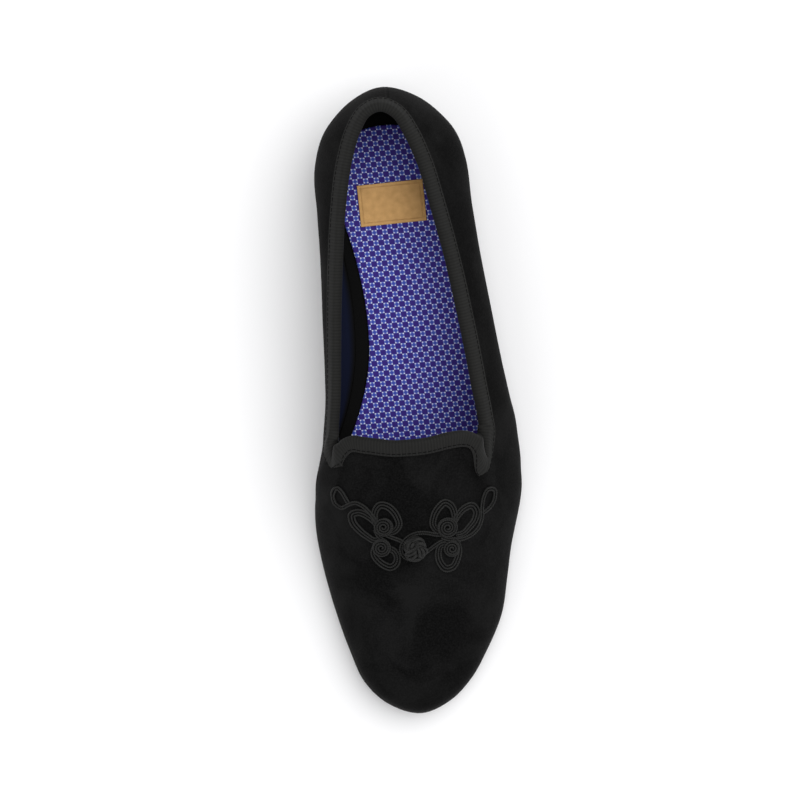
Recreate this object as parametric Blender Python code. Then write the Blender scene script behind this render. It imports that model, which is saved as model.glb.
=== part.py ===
import math

import bmesh
import bpy
import numpy as np
from mathutils import Vector
from mathutils.bvhtree import BVHTree

# The shoe stands on its heel and tread. The toe points to -Y and the lateral side lies at +X.
# The origin lies on the flat bottom of the heel.

# Main sizes of the left shoe, in metres.
SHOE_LENGTH = 0.256
BALL_WIDTH = 0.086
INSTEP_HEIGHT = 0.056
HEEL_HEIGHT = 0.012
TOE_SPRING = 0.0063
HEEL_CENTRE = 0.034  # from the back of the shoe to the middle of the heel
HEEL_MIDDLE = 0.0028  # how far the middle of the heel lies to the lateral side of the shoe's axis

# Thicknesses and gaps.
WALL = 0.002
SEAT_GAP = 0.0003
SOLE_THICK = 0.0035
SOLE_MARGIN = 0.0008
TOP_LIFT_THICK = 0.003
INSOLE_THICK = 0.003
INSOLE_ROUNDING = 0.0008
SOCK_THICK = 0.001

# Heel, sock and label.
HEEL_BREAST = 0.242  # share of the length
HEEL_TAPER = 0.965
SOCK_START = 0.059  # share of the length
SOCK_START_BOW = 14.0  # how the rear end of the sock curves forward to its sides, per metre across
SOCK_END = 0.955  # share of the length
LABEL_LENGTH = 0.027
LABEL_WIDTH = 0.017
LABEL_THICK = 0.0004
LABEL_ALONG = 0.184  # share of the length
LABEL_ACROSS = 0.015  # share of the ball width
LABEL_TURN = math.radians(2.8)

# Ribbon folded over the topline.
RIBBON_LEG = 0.005
RIBBON_THICK = 0.0008
RIBBON_EASING = 6  # rounds of smoothing of the folded edge's direction at the corners
NOTCH_SLACK = 0.0009  # extra gap under the ribbon where it turns in the notches
RIBBON_LEAST_FACING = 0.45  # how far the fold may reach out at a sharp corner

# Cord ornament.
ORNAMENT_ALONG = 0.732  # share of the length
ORNAMENT_ACROSS = 0.016  # share of the ball width
BAND_WIDTH = 0.0026
BAND_HEIGHT = 0.0012
CORD_WIDTH = 0.0018
CORD_HEIGHT = 0.0014
COIL_HEIGHT = 0.0017
KNOT_SHIFT = 0.0011  # towards the heel, from the middle of the ornament
KNOT_RADIUS = 0.0048
KNOT_LENGTH = 0.0052
KNOT_HEIGHT = 0.0031
KNOT_STEM = 0.0017

# How finely the sections are sampled.
STEPS_BETWEEN_SECTIONS = 2  # count
FINER_AFTER = ("lateral notch back", "lateral notch lip", "lateral notch", "lateral tab side",
               "medial tab corner", "medial tab side", "medial notch", "medial notch lip")
LEVELS = (0.0, 0.08, 0.18, 0.3, 0.44, 0.58, 0.72, 0.86, 1.0)
FINE_STEPS = 6  # count
FINE_LEVELS = 60  # count

# Underside along the shoe. Columns: share of the length, share of the heel height, share of the toe spring.
SOLE_LINE = (
    (0.0, 1.0, 0.0),
    (0.12, 1.0, 0.0),
    (0.24, 1.0, 0.0),
    (0.3, 0.91, 0.0),
    (0.4, 0.58, 0.0),
    (0.5, 0.26, 0.0),
    (0.58, 0.07, 0.0),
    (0.64, 0.0, 0.0),
    (0.70, 0.0, 0.0),
    (0.76, 0.0, 0.0),
    (0.84, 0.0, 0.14),
    (0.92, 0.0, 0.48),
    (1.0, 0.0, 1.0),
)

# Sections of the upper, each a curve that rises from the sole's edge to the topline. Their columns:
# name; foot along, foot across; flare and rise of the wall at the foot; top along, top across, top height
# over the sole; lead of the curve into the topline along, across and down; share of the curve that is filled.
# Along is a share of the length, across and flare of the ball width, heights of the instep height.
LATERAL_SECTIONS = (
    ("back", 0.016, 0.009, 0.076, 0.268, 0.040, -0.026, 0.804, -0.039, 0.0, 0.25, 1.0),
    ("back turn", 0.032, 0.156, 0.079, 0.268, 0.052, 0.047, 0.796, -0.029, 0.081, 0.259, 1.0),
    ("heel turn", 0.070, 0.270, 0.081, 0.268, 0.082, 0.098, 0.777, -0.016, 0.151, 0.259, 1.0),
    ("heel side", 0.125, 0.333, 0.081, 0.268, 0.129, 0.153, 0.741, -0.006, 0.18, 0.259, 1.0),
    ("heel front", 0.200, 0.357, 0.081, 0.259, 0.200, 0.206, 0.690, 0.0, 0.169, 0.25, 1.0),
    ("waist back", 0.281, 0.374, 0.087, 0.25, 0.277, 0.258, 0.652, 0.0, 0.163, 0.241, 1.0),
    ("waist", 0.367, 0.407, 0.093, 0.25, 0.355, 0.298, 0.662, 0.0, 0.157, 0.232, 1.0),
    ("waist front", 0.445, 0.449, 0.087, 0.25, 0.424, 0.330, 0.690, 0.004, 0.149, 0.223, 1.0),
    ("quarter", 0.520, 0.500, 0.076, 0.241, 0.480, 0.353, 0.707, 0.012, 0.14, 0.214, 1.0),
    ("quarter front", 0.582, 0.541, 0.064, 0.25, 0.516, 0.371, 0.718, 0.029, 0.105, 0.179, 1.0),
    ("notch back", 0.621, 0.556, 0.058, 0.268, 0.539, 0.379, 0.721, 0.049, 0.064, 0.134, 1.0),
    ("notch lip", 0.648, 0.556, 0.052, 0.304, 0.552, 0.383, 0.716, 0.068, -0.002, 0.064, 1.0),
    ("notch", 0.668, 0.548, 0.049, 0.339, 0.559, 0.369, 0.752, 0.082, -0.035, 0.036, 0.82),
    ("tab side", 0.690, 0.533, 0.049, 0.348, 0.565, 0.347, 0.806, 0.084, -0.048, 0.055, 1.0),
    ("tab corner", 0.715, 0.514, 0.047, 0.32, 0.559, 0.318, 0.848, 0.086, -0.024, 0.099, 1.0),
    ("tab shoulder", 0.744, 0.492, 0.042, 0.286, 0.556, 0.274, 0.877, 0.090, 0.017, 0.155, 1.0),
    ("forefoot", 0.793, 0.465, 0.037, 0.268, 0.557, 0.215, 0.916, 0.117, 0.07, 0.232, 1.0),
    ("small toe", 0.852, 0.427, 0.035, 0.304, 0.561, 0.151, 0.946, 0.148, 0.07, 0.295, 1.0),
    ("toe side", 0.906, 0.349, 0.033, 0.339, 0.564, 0.100, 0.967, 0.18, 0.058, 0.357, 1.0),
    ("toe turn", 0.952, 0.260, 0.029, 0.375, 0.565, 0.058, 0.977, 0.207, 0.041, 0.411, 1.0),
    ("toe corner", 0.982, 0.163, 0.026, 0.402, 0.5655, 0.026, 0.98, 0.227, 0.023, 0.446, 1.0),
    ("toe", 1.0, 0.024, 0.023, 0.414, 0.5655, -0.002, 0.98, 0.234, 0.006, 0.455, 1.0),
)
MEDIAL_SECTIONS = (
    ("toe corner", 0.980, -0.140, 0.026, 0.402, 0.5655, -0.033, 0.975, 0.227, -0.017, 0.446, 1.0),
    ("toe turn", 0.947, -0.233, 0.029, 0.375, 0.565, -0.065, 0.962, 0.207, -0.035, 0.411, 1.0),
    ("toe side", 0.897, -0.293, 0.033, 0.339, 0.563, -0.105, 0.943, 0.176, -0.052, 0.348, 1.0),
    ("big toe", 0.840, -0.344, 0.035, 0.304, 0.56, -0.151, 0.916, 0.144, -0.064, 0.286, 1.0),
    ("forefoot", 0.781, -0.386, 0.037, 0.268, 0.557, -0.202, 0.883, 0.113, -0.064, 0.223, 1.0),
    ("tab shoulder", 0.734, -0.411, 0.041, 0.27, 0.554, -0.249, 0.845, 0.082, -0.012, 0.134, 1.0),
    ("tab corner", 0.702, -0.422, 0.045, 0.30, 0.558, -0.286, 0.812, 0.076, 0.022, 0.09, 1.0),
    ("tab side", 0.676, -0.423, 0.048, 0.33, 0.566, -0.313, 0.782, 0.074, 0.039, 0.052, 1.0),
    ("notch", 0.654, -0.418, 0.05, 0.33, 0.562, -0.335, 0.722, 0.073, 0.033, 0.036, 0.88),
    ("notch lip", 0.632, -0.407, 0.052, 0.30, 0.556, -0.345, 0.702, 0.050, -0.02, 0.085, 1.0),
    ("notch back", 0.607, -0.384, 0.058, 0.268, 0.543, -0.336, 0.70, 0.043, -0.035, 0.107, 1.0),
    ("quarter front", 0.570, -0.337, 0.074, 0.241, 0.519, -0.326, 0.705, 0.025, -0.052, 0.161, 1.0),
    ("quarter", 0.520, -0.272, 0.105, 0.214, 0.484, -0.314, 0.704, 0.01, -0.064, 0.196, 1.0),
    ("waist front", 0.445, -0.208, 0.145, 0.175, 0.426, -0.301, 0.685, 0.0, -0.09, 0.214, 1.0),
    ("waist", 0.367, -0.192, 0.163, 0.148, 0.357, -0.287, 0.665, 0.0, -0.105, 0.223, 1.0),
    ("waist back", 0.281, -0.223, 0.143, 0.19, 0.277, -0.267, 0.666, 0.0, -0.112, 0.236, 1.0),
    ("heel front", 0.200, -0.272, 0.11, 0.235, 0.195, -0.240, 0.694, 0.0, -0.12, 0.245, 1.0),
    ("heel side", 0.125, -0.297, 0.09, 0.266, 0.124, -0.200, 0.744, -0.007, -0.132, 0.257, 1.0),
    ("heel turn", 0.068, -0.244, 0.081, 0.268, 0.076, -0.151, 0.777, -0.02, -0.116, 0.259, 1.0),
    ("back turn", 0.032, -0.137, 0.079, 0.268, 0.049, -0.100, 0.796, -0.031, -0.064, 0.259, 1.0),
)
NOTCH_ROUNDING = 1.5  # power that rounds the lips of the notches

# How far the sock stays in from the edge of the insole. Columns: share of the length; medial and lateral
# distance, as shares of the ball width.
SOCK_INSET = (
    (0.0, 0.012, 0.012),
    (0.15, 0.02, 0.012),
    (0.3, 0.05, 0.012),
    (0.42, 0.06, 0.012),
    (0.55, 0.045, 0.012),
    (0.7, 0.015, 0.012),
    (1.0, 0.012, 0.012),
)

# Cords of the ornament, in millimetres from the middle of the knot: lateral, then towards the heel.
KNOT_SIDE_BANDS = (
    ((-13.6, 10.0), (-15.4, 12.4), (-18.2, 14.9), (-21.4, 16.3), (-24.0, 15.4), (-23.8, 12.5), (-21.6, 9.2),
     (-18.6, 6.4), (-15.2, 4.4), (-13.2, 5.0)),
    ((-13.2, 8.6), (-14.9, 12.6), (-14.7, 16.4), (-12.6, 18.9), (-10.0, 18.4), (-7.5, 16.2), (-5.9, 13.2),
     (-5.4, 10.6), (-7.2, 8.0), (-10.6, 7.4)),
    ((-13.4, 3.2), (-15.5, 1.2), (-15.9, -1.4), (-14.4, -3.9), (-12.0, -6.0), (-9.6, -6.9), (-7.6, -5.8),
     (-6.7, -3.2), (-7.8, -0.4), (-10.8, 1.4)),
)
KNOT_SIDE_CORDS = (
    ((-12.8, 9.0), (-15.0, 13.5), (-17.1, 16.5), (-19.8, 19.2), (-22.6, 20.4), (-25.3, 19.5), (-27.6, 18.4),
     (-30.1, 20.1), (-31.1, 22.7), (-30.8, 25.6), (-29.6, 26.9), (-28.0, 25.7), (-25.9, 21.8), (-24.9, 19.6)),
    ((-11.8, 7.6), (-10.0, 6.2), (-7.8, 5.2), (-7.0, 4.7), (-6.5, 4.4)),
    ((-15.2, 9.0), (-13.2, 5.6), (-10.8, 3.6), (-9.6, 1.0)),
)
KNOT_SIDE_COILS = ((-11.4, 10.0, 3.9), (-12.6, 1.5, 3.8))
LOOP_SIDE_BANDS = (
    ((13.2, 8.2), (10.0, 7.0), (8.2, 9.4), (8.7, 13.0), (10.9, 16.6), (13.4, 18.4), (15.8, 17.1),
     (17.0, 14.3), (16.9, 11.0), (15.4, 8.4)),
    ((16.4, 9.4), (18.6, 12.9), (21.6, 15.6), (24.6, 16.3), (26.3, 14.0), (25.6, 10.6), (23.2, 7.6),
     (20.4, 5.2), (17.4, 4.6)),
    ((14.0, 0.8), (11.0, 0.8), (9.8, -2.4), (10.6, -6.5), (12.8, -8.9), (15.5, -8.3), (17.4, -5.4),
     (18.4, -1.8), (17.8, 1.6)),
)
LOOP_SIDE_CORDS = (
    ((14.6, 4.0), (12.0, 5.2), (9.4, 5.5), (5.4, 6.5), (1.5, 6.6), (-1.8, 5.4), (-4.2, 2.9), (-5.0, 0.6),
     (-4.5, -1.8), (-2.6, -3.6), (0.6, -3.9), (3.6, -2.2), (7.2, 0.2), (10.6, 2.2), (13.0, 3.0)),
    ((15.8, 2.6), (20.4, 3.0), (24.1, 4.6), (26.8, 7.1), (28.3, 10.4), (28.7, 14.7), (29.8, 19.0),
     (32.1, 21.9), (34.0, 21.2), (34.2, 18.4), (32.8, 15.4), (30.6, 13.2), (28.5, 12.2)),
    ((11.4, 4.4), (14.0, 3.2), (17.0, 3.0), (18.4, 0.6)),
)
LOOP_SIDE_COILS = ((13.8, 8.3, 4.2), (15.2, -0.6, 3.4))
ORNAMENT_SCALE = 0.985


def clear_scene():
    for obj in list(bpy.data.objects):
        bpy.data.objects.remove(obj, do_unlink=True)


def material(name, colour, roughness, metallic=0.0):
    made = bpy.data.materials.new(name)
    made.use_nodes = True
    shader = made.node_tree.nodes["Principled BSDF"]
    shader.inputs["Base Color"].default_value = (*colour, 1.0)
    shader.inputs["Roughness"].default_value = roughness
    shader.inputs["Metallic"].default_value = metallic
    made.diffuse_color = (*colour, 1.0)
    return made


def slopes(knots, values):
    """Slope at each knot of the parabola through it and its neighbours."""
    steps = np.diff(knots)
    rates = np.diff(values, axis=0) / steps[:, None]
    inner = (steps[:-1, None] * rates[1:] + steps[1:, None] * rates[:-1]) / (steps[:-1] + steps[1:])[:, None]
    return np.vstack([rates[:1], inner, rates[-1:]])


def smooth_curve(knots, values, wanted):
    """Smooth curve through the values, read at the wanted places."""
    knots = np.asarray(knots, float)
    values = np.asarray(values, float)
    tangents = slopes(knots, values)
    index = np.clip(np.searchsorted(knots, wanted, side="right") - 1, 0, len(knots) - 2)
    step = knots[index + 1] - knots[index]
    t = ((wanted - knots[index]) / step)[:, None]
    step = step[:, None]
    return (
        (2 * t**3 - 3 * t**2 + 1) * values[index]
        + (t**3 - 2 * t**2 + t) * step * tangents[index]
        + (3 * t**2 - 2 * t**3) * values[index + 1]
        + (t**3 - t**2) * step * tangents[index + 1]
    )


def sole_bottom(along):
    """Height of the sole's underside at distances along the shoe."""
    table = np.array(SOLE_LINE)
    heights = table[:, 1:2] * HEEL_HEIGHT + table[:, 2:3] * TOE_SPRING
    share = np.clip(np.asarray(along, float).ravel() / SHOE_LENGTH, 0.0, 1.0)
    found = smooth_curve(table[:, 0], heights, share)[:, 0]
    return np.clip(found, 0.0, HEEL_HEIGHT + TOE_SPRING).reshape(np.shape(along))


def sole_top(along):
    return sole_bottom(along) + SOLE_THICK


def place(along, across, height):
    """World position of points measured along and across the shoe."""
    across = np.asarray(across, float) + np.zeros(np.shape(along))
    height = np.asarray(height, float) + np.zeros(np.shape(along))
    return np.stack([across - HEEL_MIDDLE, HEEL_CENTRE - np.asarray(along, float), height], axis=-1)


def along_of(points):
    return HEEL_CENTRE - points[..., 1]


def outward(ring):
    """Outward unit normals, seen from above, of a ring that runs from the heel round the lateral side."""
    ahead = np.roll(ring, -1, axis=0) - np.roll(ring, 1, axis=0)
    normals = np.stack([-ahead[:, 1], ahead[:, 0], np.zeros(len(ring))], axis=-1)
    return normals / np.linalg.norm(normals, axis=1, keepdims=True)


def section_columns(steps):
    """Foot, two handles and top of every section curve round the shoe, and the share that the wall fills."""
    rows = np.array([row[1:] for row in LATERAL_SECTIONS + MEDIAL_SECTIONS])
    names = [f"lateral {row[0]}" for row in LATERAL_SECTIONS]
    names += [f"medial {row[0]}" for row in MEDIAL_SECTIONS]
    box = [SHOE_LENGTH, BALL_WIDTH, INSTEP_HEIGHT]
    rows = rows * np.array([SHOE_LENGTH, BALL_WIDTH, BALL_WIDTH, INSTEP_HEIGHT, *box, *box, 1.0])
    count = len(rows)
    looped = np.vstack([rows[-3:], rows, rows[:3]])  # carried on past the start so that the curve closes
    moves = np.diff(looped, axis=0)
    gaps = 0.5 * (np.hypot(moves[:, 0], moves[:, 1]) + np.linalg.norm(moves[:, 4:7], axis=1))
    knots = np.concatenate([[0.0], np.cumsum(gaps)])
    shares = [2 * steps if name in FINER_AFTER else steps for name in names]
    wanted = np.concatenate([
        np.linspace(knots[i + 3], knots[i + 4], shares[i], endpoint=False) for i in range(count)
    ])
    found = smooth_curve(knots, looped, wanted)
    foot = place(found[:, 0], found[:, 1], sole_top(found[:, 0]) + SEAT_GAP)
    top = place(found[:, 4], found[:, 5], sole_top(found[:, 4]) + found[:, 6])
    wall = foot + outward(foot) * found[:, 2:3]
    wall[:, 2] += found[:, 3]
    lead = top + np.stack([found[:, 8], -found[:, 7], -found[:, 9]], axis=-1)
    deepest = 1.0 - rows[:, 10].min()
    depth = np.clip((1.0 - np.interp(wanted, knots, looped[:, 10])) / deepest, 0.0, 1.0)
    filled = 1.0 - deepest * np.sin(0.5 * np.pi * depth)**NOTCH_ROUNDING
    return foot, wall, lead, top, filled


def upper_skin(steps, levels, whole=False):
    """Points on the outside of the upper and the outward normals, with the notches filled if whole."""
    foot, wall, lead, top, filled = section_columns(steps)
    foot, wall, lead, top = (part[:, None, :] for part in (foot, wall, lead, top))
    t = (np.ones_like(filled) if whole else filled)[:, None, None] * np.asarray(levels)[None, :, None]
    shares = ((1 - t)**3, 3 * (1 - t)**2 * t, 3 * (1 - t) * t**2, t**3)
    controls = (foot, wall, lead, top)
    grid = sum(share * spot for share, spot in zip(shares, controls, strict=True))
    rising = 3 * ((1 - t)**2 * (wall - foot) + 2 * (1 - t) * t * (lead - wall) + t**2 * (top - lead))
    round_shoe = sum(
        share * (np.roll(spot, -1, axis=0) - np.roll(spot, 1, axis=0))
        for share, spot in zip(shares, controls, strict=True)
    )
    normals = np.cross(rising, round_shoe)
    normals /= np.linalg.norm(normals, axis=2, keepdims=True)
    return grid, normals


def inner_skin(grid, normals):
    """The grid moved in by the wall; its lowest ring stays level so that the wall stands flat on the sole."""
    inner = grid - normals * WALL
    level = normals[:, 0] * (1.0, 1.0, 0.0)
    level /= np.linalg.norm(level, axis=1, keepdims=True)
    inner[:, 0] = grid[:, 0] - level * WALL
    return inner


def add_mesh(name, points, faces, made_of):
    mesh = bpy.data.meshes.new(name)
    mesh.from_pydata([tuple(p) for p in points], [], faces)
    shell = bmesh.new()
    shell.from_mesh(mesh)
    bmesh.ops.recalc_face_normals(shell, faces=shell.faces)
    if shell.calc_volume(signed=True) < 0.0:
        bmesh.ops.reverse_faces(shell, faces=shell.faces)
    shell.to_mesh(mesh)
    shell.free()
    mesh.materials.append(made_of)
    obj = bpy.data.objects.new(name, mesh)
    bpy.context.scene.collection.objects.link(obj)
    return obj


def shade(obj, degrees):
    """Smooth shading with creases kept at edges sharper than the given angle."""
    limit = math.radians(degrees)
    for face in obj.data.polygons:
        face.use_smooth = True
    obj.data.set_sharp_from_angle(angle=limit)
    return obj


def ring_faces(first, second, count):
    return [(first + i, first + (i + 1) % count, second + (i + 1) % count, second + i) for i in range(count)]


def lofted(name, rings, made_of, degrees=40):
    """Closed tube through rings that come back to the first one."""
    count = len(rings[0])
    faces = []
    for k in range(len(rings)):
        faces += ring_faces(k * count, ((k + 1) % len(rings)) * count, count)
    return shade(add_mesh(name, np.concatenate(rings), faces, made_of), degrees)


def crossing_faces(start, count):
    """Triangles that close a ring by running from side to side, from the heel to the toe."""
    half = count // 2
    faces = []
    for i in range(half):
        near, ahead = start + i, start + i + 1
        across_ahead, across_near = start + (count - i - 1) % count, start + (count - i) % count
        faces += [(near, ahead, across_ahead), (near, across_ahead, across_near)]
    return [face for face in faces if len(set(face)) == 3]


def plate(name, rings, made_of, degrees=40):
    """Solid from stacked rings, bottom first, closed by faces from side to side."""
    count = len(rings[0])
    faces = [tuple(reversed(face)) for face in crossing_faces(0, count)]
    for k in range(len(rings) - 1):
        faces += ring_faces(k * count, (k + 1) * count, count)
    faces += crossing_faces((len(rings) - 1) * count, count)
    return shade(add_mesh(name, np.concatenate(rings), faces, made_of), degrees)


def at_height(ring, heights):
    raised = ring.copy()
    raised[:, 2] = heights
    return raised


def build_upper(made_of):
    grid, normals = upper_skin(STEPS_BETWEEN_SECTIONS, LEVELS)
    inner = inner_skin(grid, normals)
    rings = [grid[:, k] for k in range(len(LEVELS))]
    rings += [inner[:, k] for k in reversed(range(len(LEVELS)))]
    return lofted("upper", rings, made_of)


def build_ribbon(surface, made_of):
    """The ribbon's folded profile, carried along the topline on both faces of the wall."""
    grid, normals = upper_skin(STEPS_BETWEEN_SECTIONS, (1.0,))
    edge = grid[:, -1]
    ahead = np.roll(edge, -1, axis=0) - np.roll(edge, 1, axis=0)
    down = np.cross(normals[:, -1], ahead)
    down /= np.linalg.norm(down, axis=1, keepdims=True)
    for _ in range(RIBBON_EASING):
        down = 0.5 * down + 0.25 * (np.roll(down, 1, axis=0) + np.roll(down, -1, axis=0))
    down /= np.linalg.norm(down, axis=1, keepdims=True)

    square = np.cross(normals[:, -1], np.roll(edge, -1, axis=0) - edge)
    square /= np.linalg.norm(square, axis=1, keepdims=True)
    facing = np.minimum((down * square).sum(axis=1), (down * np.roll(square, 1, axis=0)).sum(axis=1))
    reach = 1.0 / np.clip(facing, RIBBON_LEAST_FACING, 1.0)[:, None]

    def point_ring(depth, out):
        if np.max(depth) <= 0.0:
            return edge + down * reach * depth + normals[:, -1] * out
        found = []
        for spot, lift in zip(edge + down * depth, out[:, 0], strict=True):
            hit, normal = nearest_on(surface, Vector(spot))
            found.append(hit + normal * lift)
        return np.array([tuple(spot) for spot in found])

    loose = (section_columns(STEPS_BETWEEN_SECTIONS)[4] < 1.0).astype(float)
    for _ in range(RIBBON_EASING):
        loose = np.maximum(loose, 0.5 * (np.roll(loose, 1) + np.roll(loose, -1)))
    near = (SEAT_GAP + NOTCH_SLACK * loose)[:, None]
    far = near + RIBBON_THICK
    inside = -WALL
    half_leg = 0.5 * RIBBON_LEG
    profile = (
        (RIBBON_LEG, near), (RIBBON_LEG, far), (half_leg, far), (0.0, far), (-far, 0.35 * far),
        (-far, inside - 0.35 * far), (0.0, inside - far), (RIBBON_LEG, inside - SEAT_GAP - far),
        (RIBBON_LEG, inside - SEAT_GAP - near), (-near, inside - near), (-near, near), (half_leg, near),
    )
    return lofted("topline_binding", [point_ring(depth, out) for depth, out in profile], made_of)


def sole_ring(margin):
    foot = section_columns(STEPS_BETWEEN_SECTIONS)[0]
    return foot + outward(foot) * margin


def build_outsole(made_of):
    edge = sole_ring(SOLE_MARGIN)
    under = sole_ring(0.0)
    along = along_of(edge)
    rings = [
        at_height(under, sole_bottom(along_of(under))),
        at_height(edge, sole_bottom(along) + 0.2 * SOLE_THICK),
        at_height(edge, sole_bottom(along) + 0.85 * SOLE_THICK),
        at_height(sole_ring(0.6 * SOLE_MARGIN), sole_top(along_of(sole_ring(0.6 * SOLE_MARGIN)))),
    ]
    return plate("outsole", rings, made_of)


def heel_ring(scale):
    """Outline of the heel, cut straight across at its front."""
    edge = sole_ring(0.0)
    breast = HEEL_BREAST * SHOE_LENGTH
    along = along_of(edge)
    half = len(edge) // 2
    lateral = [p for p, a in zip(edge[:half], along[:half], strict=True) if a < breast]
    medial = [p for p, a in zip(edge[half:], along[half:], strict=True) if a < breast]

    def cut(side_points, side_along):
        return np.array([np.interp(breast, side_along, side_points[:, 0]), HEEL_CENTRE - breast, 0.0])

    ahead = cut(edge[:half], along[:half])
    behind = cut(edge[half:][::-1], along[half:][::-1])
    ring = np.array(lateral + [ahead, behind] + medial)
    breast_line = np.array([0.0, HEEL_CENTRE - breast, 0.0])
    return breast_line + (ring - breast_line) * (scale, scale, 1.0)


def block(name, lower, upper, made_of):
    """Solid between two matching rings with flat ends."""
    count = len(lower)
    faces = [tuple(reversed(range(count))), tuple(range(count, 2 * count))]
    faces += ring_faces(0, count, count)
    return shade(add_mesh(name, np.concatenate([lower, upper]), faces, made_of), 40)


def build_heel(leather, rubber):
    ground = at_height(heel_ring(HEEL_TAPER), 0.0)
    lift_top = at_height(heel_ring(HEEL_TAPER), TOP_LIFT_THICK)
    stack_bottom = at_height(heel_ring(HEEL_TAPER), TOP_LIFT_THICK + SEAT_GAP)
    stack_top = at_height(heel_ring(1.0), HEEL_HEIGHT - SEAT_GAP)
    return block("top_lift", ground, lift_top, rubber), block("heel_stack", stack_bottom, stack_top, leather)


def insole_ring(rise, inset):
    """Ring on the inside of the upper at a rise over its lower edge, moved in by an inset."""
    levels = np.linspace(0.0, 0.4, 25)
    grid, normals = upper_skin(STEPS_BETWEEN_SECTIONS, levels)
    inner = inner_skin(grid, normals)
    found = np.empty((len(inner), 3))
    for i, column in enumerate(inner):
        height = np.maximum.accumulate(column[:, 2] - column[0, 2])
        for axis in range(2):
            found[i, axis] = np.interp(rise, height, column[:, axis])
    found[:, 2] = 0.0
    found -= outward(found) * inset
    found[:, 2] = sole_top(along_of(found)) + SEAT_GAP + rise
    return found


def build_insole(made_of):
    clear = 1.6 * SEAT_GAP
    rings = [
        insole_ring(0.0, clear),
        insole_ring(0.5 * INSOLE_THICK, clear),
        insole_ring(INSOLE_THICK - INSOLE_ROUNDING, clear),
        insole_ring(INSOLE_THICK, clear + INSOLE_ROUNDING),
    ]
    return plate("insole", rings, made_of)


def sock_ring(lift):
    """Outline of the sock: the insole's edge moved in, more on the medial side of the waist."""
    edge = insole_ring(INSOLE_THICK, 1.6 * SEAT_GAP + INSOLE_ROUNDING)
    table = np.array(SOCK_INSET)
    share = np.clip(along_of(edge) / SHOE_LENGTH, 0.0, 1.0)
    found = smooth_curve(table[:, 0], table[:, 1:] * BALL_WIDTH, share)
    medial = np.arange(len(edge)) > len(edge) // 2
    inset = np.where(medial, found[:, 0], found[:, 1])
    ring = edge - outward(edge) * inset[:, None]
    middle = place(0.0, LABEL_ACROSS * BALL_WIDTH, 0.0)[0]
    rear = HEEL_CENTRE - SOCK_START * SHOE_LENGTH - SOCK_START_BOW * (ring[:, 0] - middle)**2
    ring[:, 1] = np.minimum(ring[:, 1], rear)
    ring[:, 1] = np.maximum(ring[:, 1], HEEL_CENTRE - SOCK_END * SHOE_LENGTH)
    ring[:, 2] = sole_top(along_of(ring)) + SEAT_GAP + INSOLE_THICK + lift
    return ring


def build_sock(made_of):
    rings = [sock_ring(SEAT_GAP), sock_ring(SEAT_GAP + SOCK_THICK)]
    return plate("sock", rings, made_of)


def build_label(made_of):
    floor = HEEL_HEIGHT + SOLE_THICK + SEAT_GAP + INSOLE_THICK + SEAT_GAP + SOCK_THICK + SEAT_GAP
    corners = ((-0.5, -0.5), (0.5, -0.5), (0.5, 0.5), (-0.5, 0.5))
    ring = place(np.full(4, LABEL_ALONG * SHOE_LENGTH), LABEL_ACROSS * BALL_WIDTH, 0.0)
    for i, (x, y) in enumerate(corners):
        x, y = x * LABEL_LENGTH, y * LABEL_WIDTH
        ring[i, 0] += x * math.cos(LABEL_TURN) - y * math.sin(LABEL_TURN)
        ring[i, 1] += x * math.sin(LABEL_TURN) + y * math.cos(LABEL_TURN)
    return block("sock_label", at_height(ring, floor), at_height(ring, floor + LABEL_THICK), made_of)


def swept(path, profile):
    """Flat cord: a profile of sideways and upward offsets carried along a path in the plane."""
    path = np.array(path) * ORNAMENT_SCALE * 0.001
    gaps = np.linalg.norm(np.diff(path, axis=0), axis=1)
    knots = np.concatenate([[0.0], np.cumsum(gaps)])
    line = smooth_curve(knots, path, np.linspace(0.0, knots[-1], 2 * len(path) - 1))
    ahead = np.gradient(line, axis=0)
    ahead /= np.linalg.norm(ahead, axis=1, keepdims=True)
    side = np.stack([-ahead[:, 1], ahead[:, 0]], axis=-1)
    points = []
    for spot, over in zip(line, side, strict=True):
        for offset, height in profile:
            points.append((spot[0] + over[0] * offset, spot[1] + over[1] * offset, height))
    count = len(profile)
    faces = [tuple(range(count)), tuple(reversed(range(len(points) - count, len(points))))]
    for k in range(len(line) - 1):
        faces += ring_faces(k * count, (k + 1) * count, count)
    return points, faces


def coil(middle, radius):
    """Low domed button of coiled cord."""
    count = 14
    rings = ((1.0, 0.0), (1.0, 0.5), (0.86, 0.85), (0.5, 1.0), (0.16, 0.86))
    points = []
    for share, rise in rings:
        for i in range(count):
            turn = 2 * math.pi * i / count
            spot = [(m + radius * share * f(turn)) * ORNAMENT_SCALE * 0.001
                    for m, f in zip(middle, (math.cos, math.sin), strict=True)]
            points.append((*spot, rise * COIL_HEIGHT))
    faces = [tuple(reversed(range(count))), tuple(range(len(points) - count, len(points)))]
    for k in range(len(rings) - 1):
        faces += ring_faces(k * count, (k + 1) * count, count)
    return points, faces


def fine_surface():
    """Finely sampled outside of the upper, for laying the ribbon and the ornament on it."""
    levels = np.linspace(0.0, 1.0, FINE_LEVELS)
    grid, normals = upper_skin(FINE_STEPS, levels, whole=True)
    count = len(grid)
    points = grid.transpose(1, 0, 2).reshape(-1, 3)
    faces = []
    for k in range(len(levels) - 1):
        faces += ring_faces(k * count, (k + 1) * count, count)
    tree = BVHTree.FromPolygons([tuple(p) for p in points], faces)
    return tree, normals.transpose(1, 0, 2).reshape(-1, 3), faces


def normal_at(surface, index):
    _, normals, faces = surface
    return Vector(np.mean([normals[v] for v in faces[index]], axis=0)).normalized()


def nearest_on(surface, spot):
    hit, _, index, _ = surface[0].find_nearest(spot)
    return hit, normal_at(surface, index)


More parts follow.
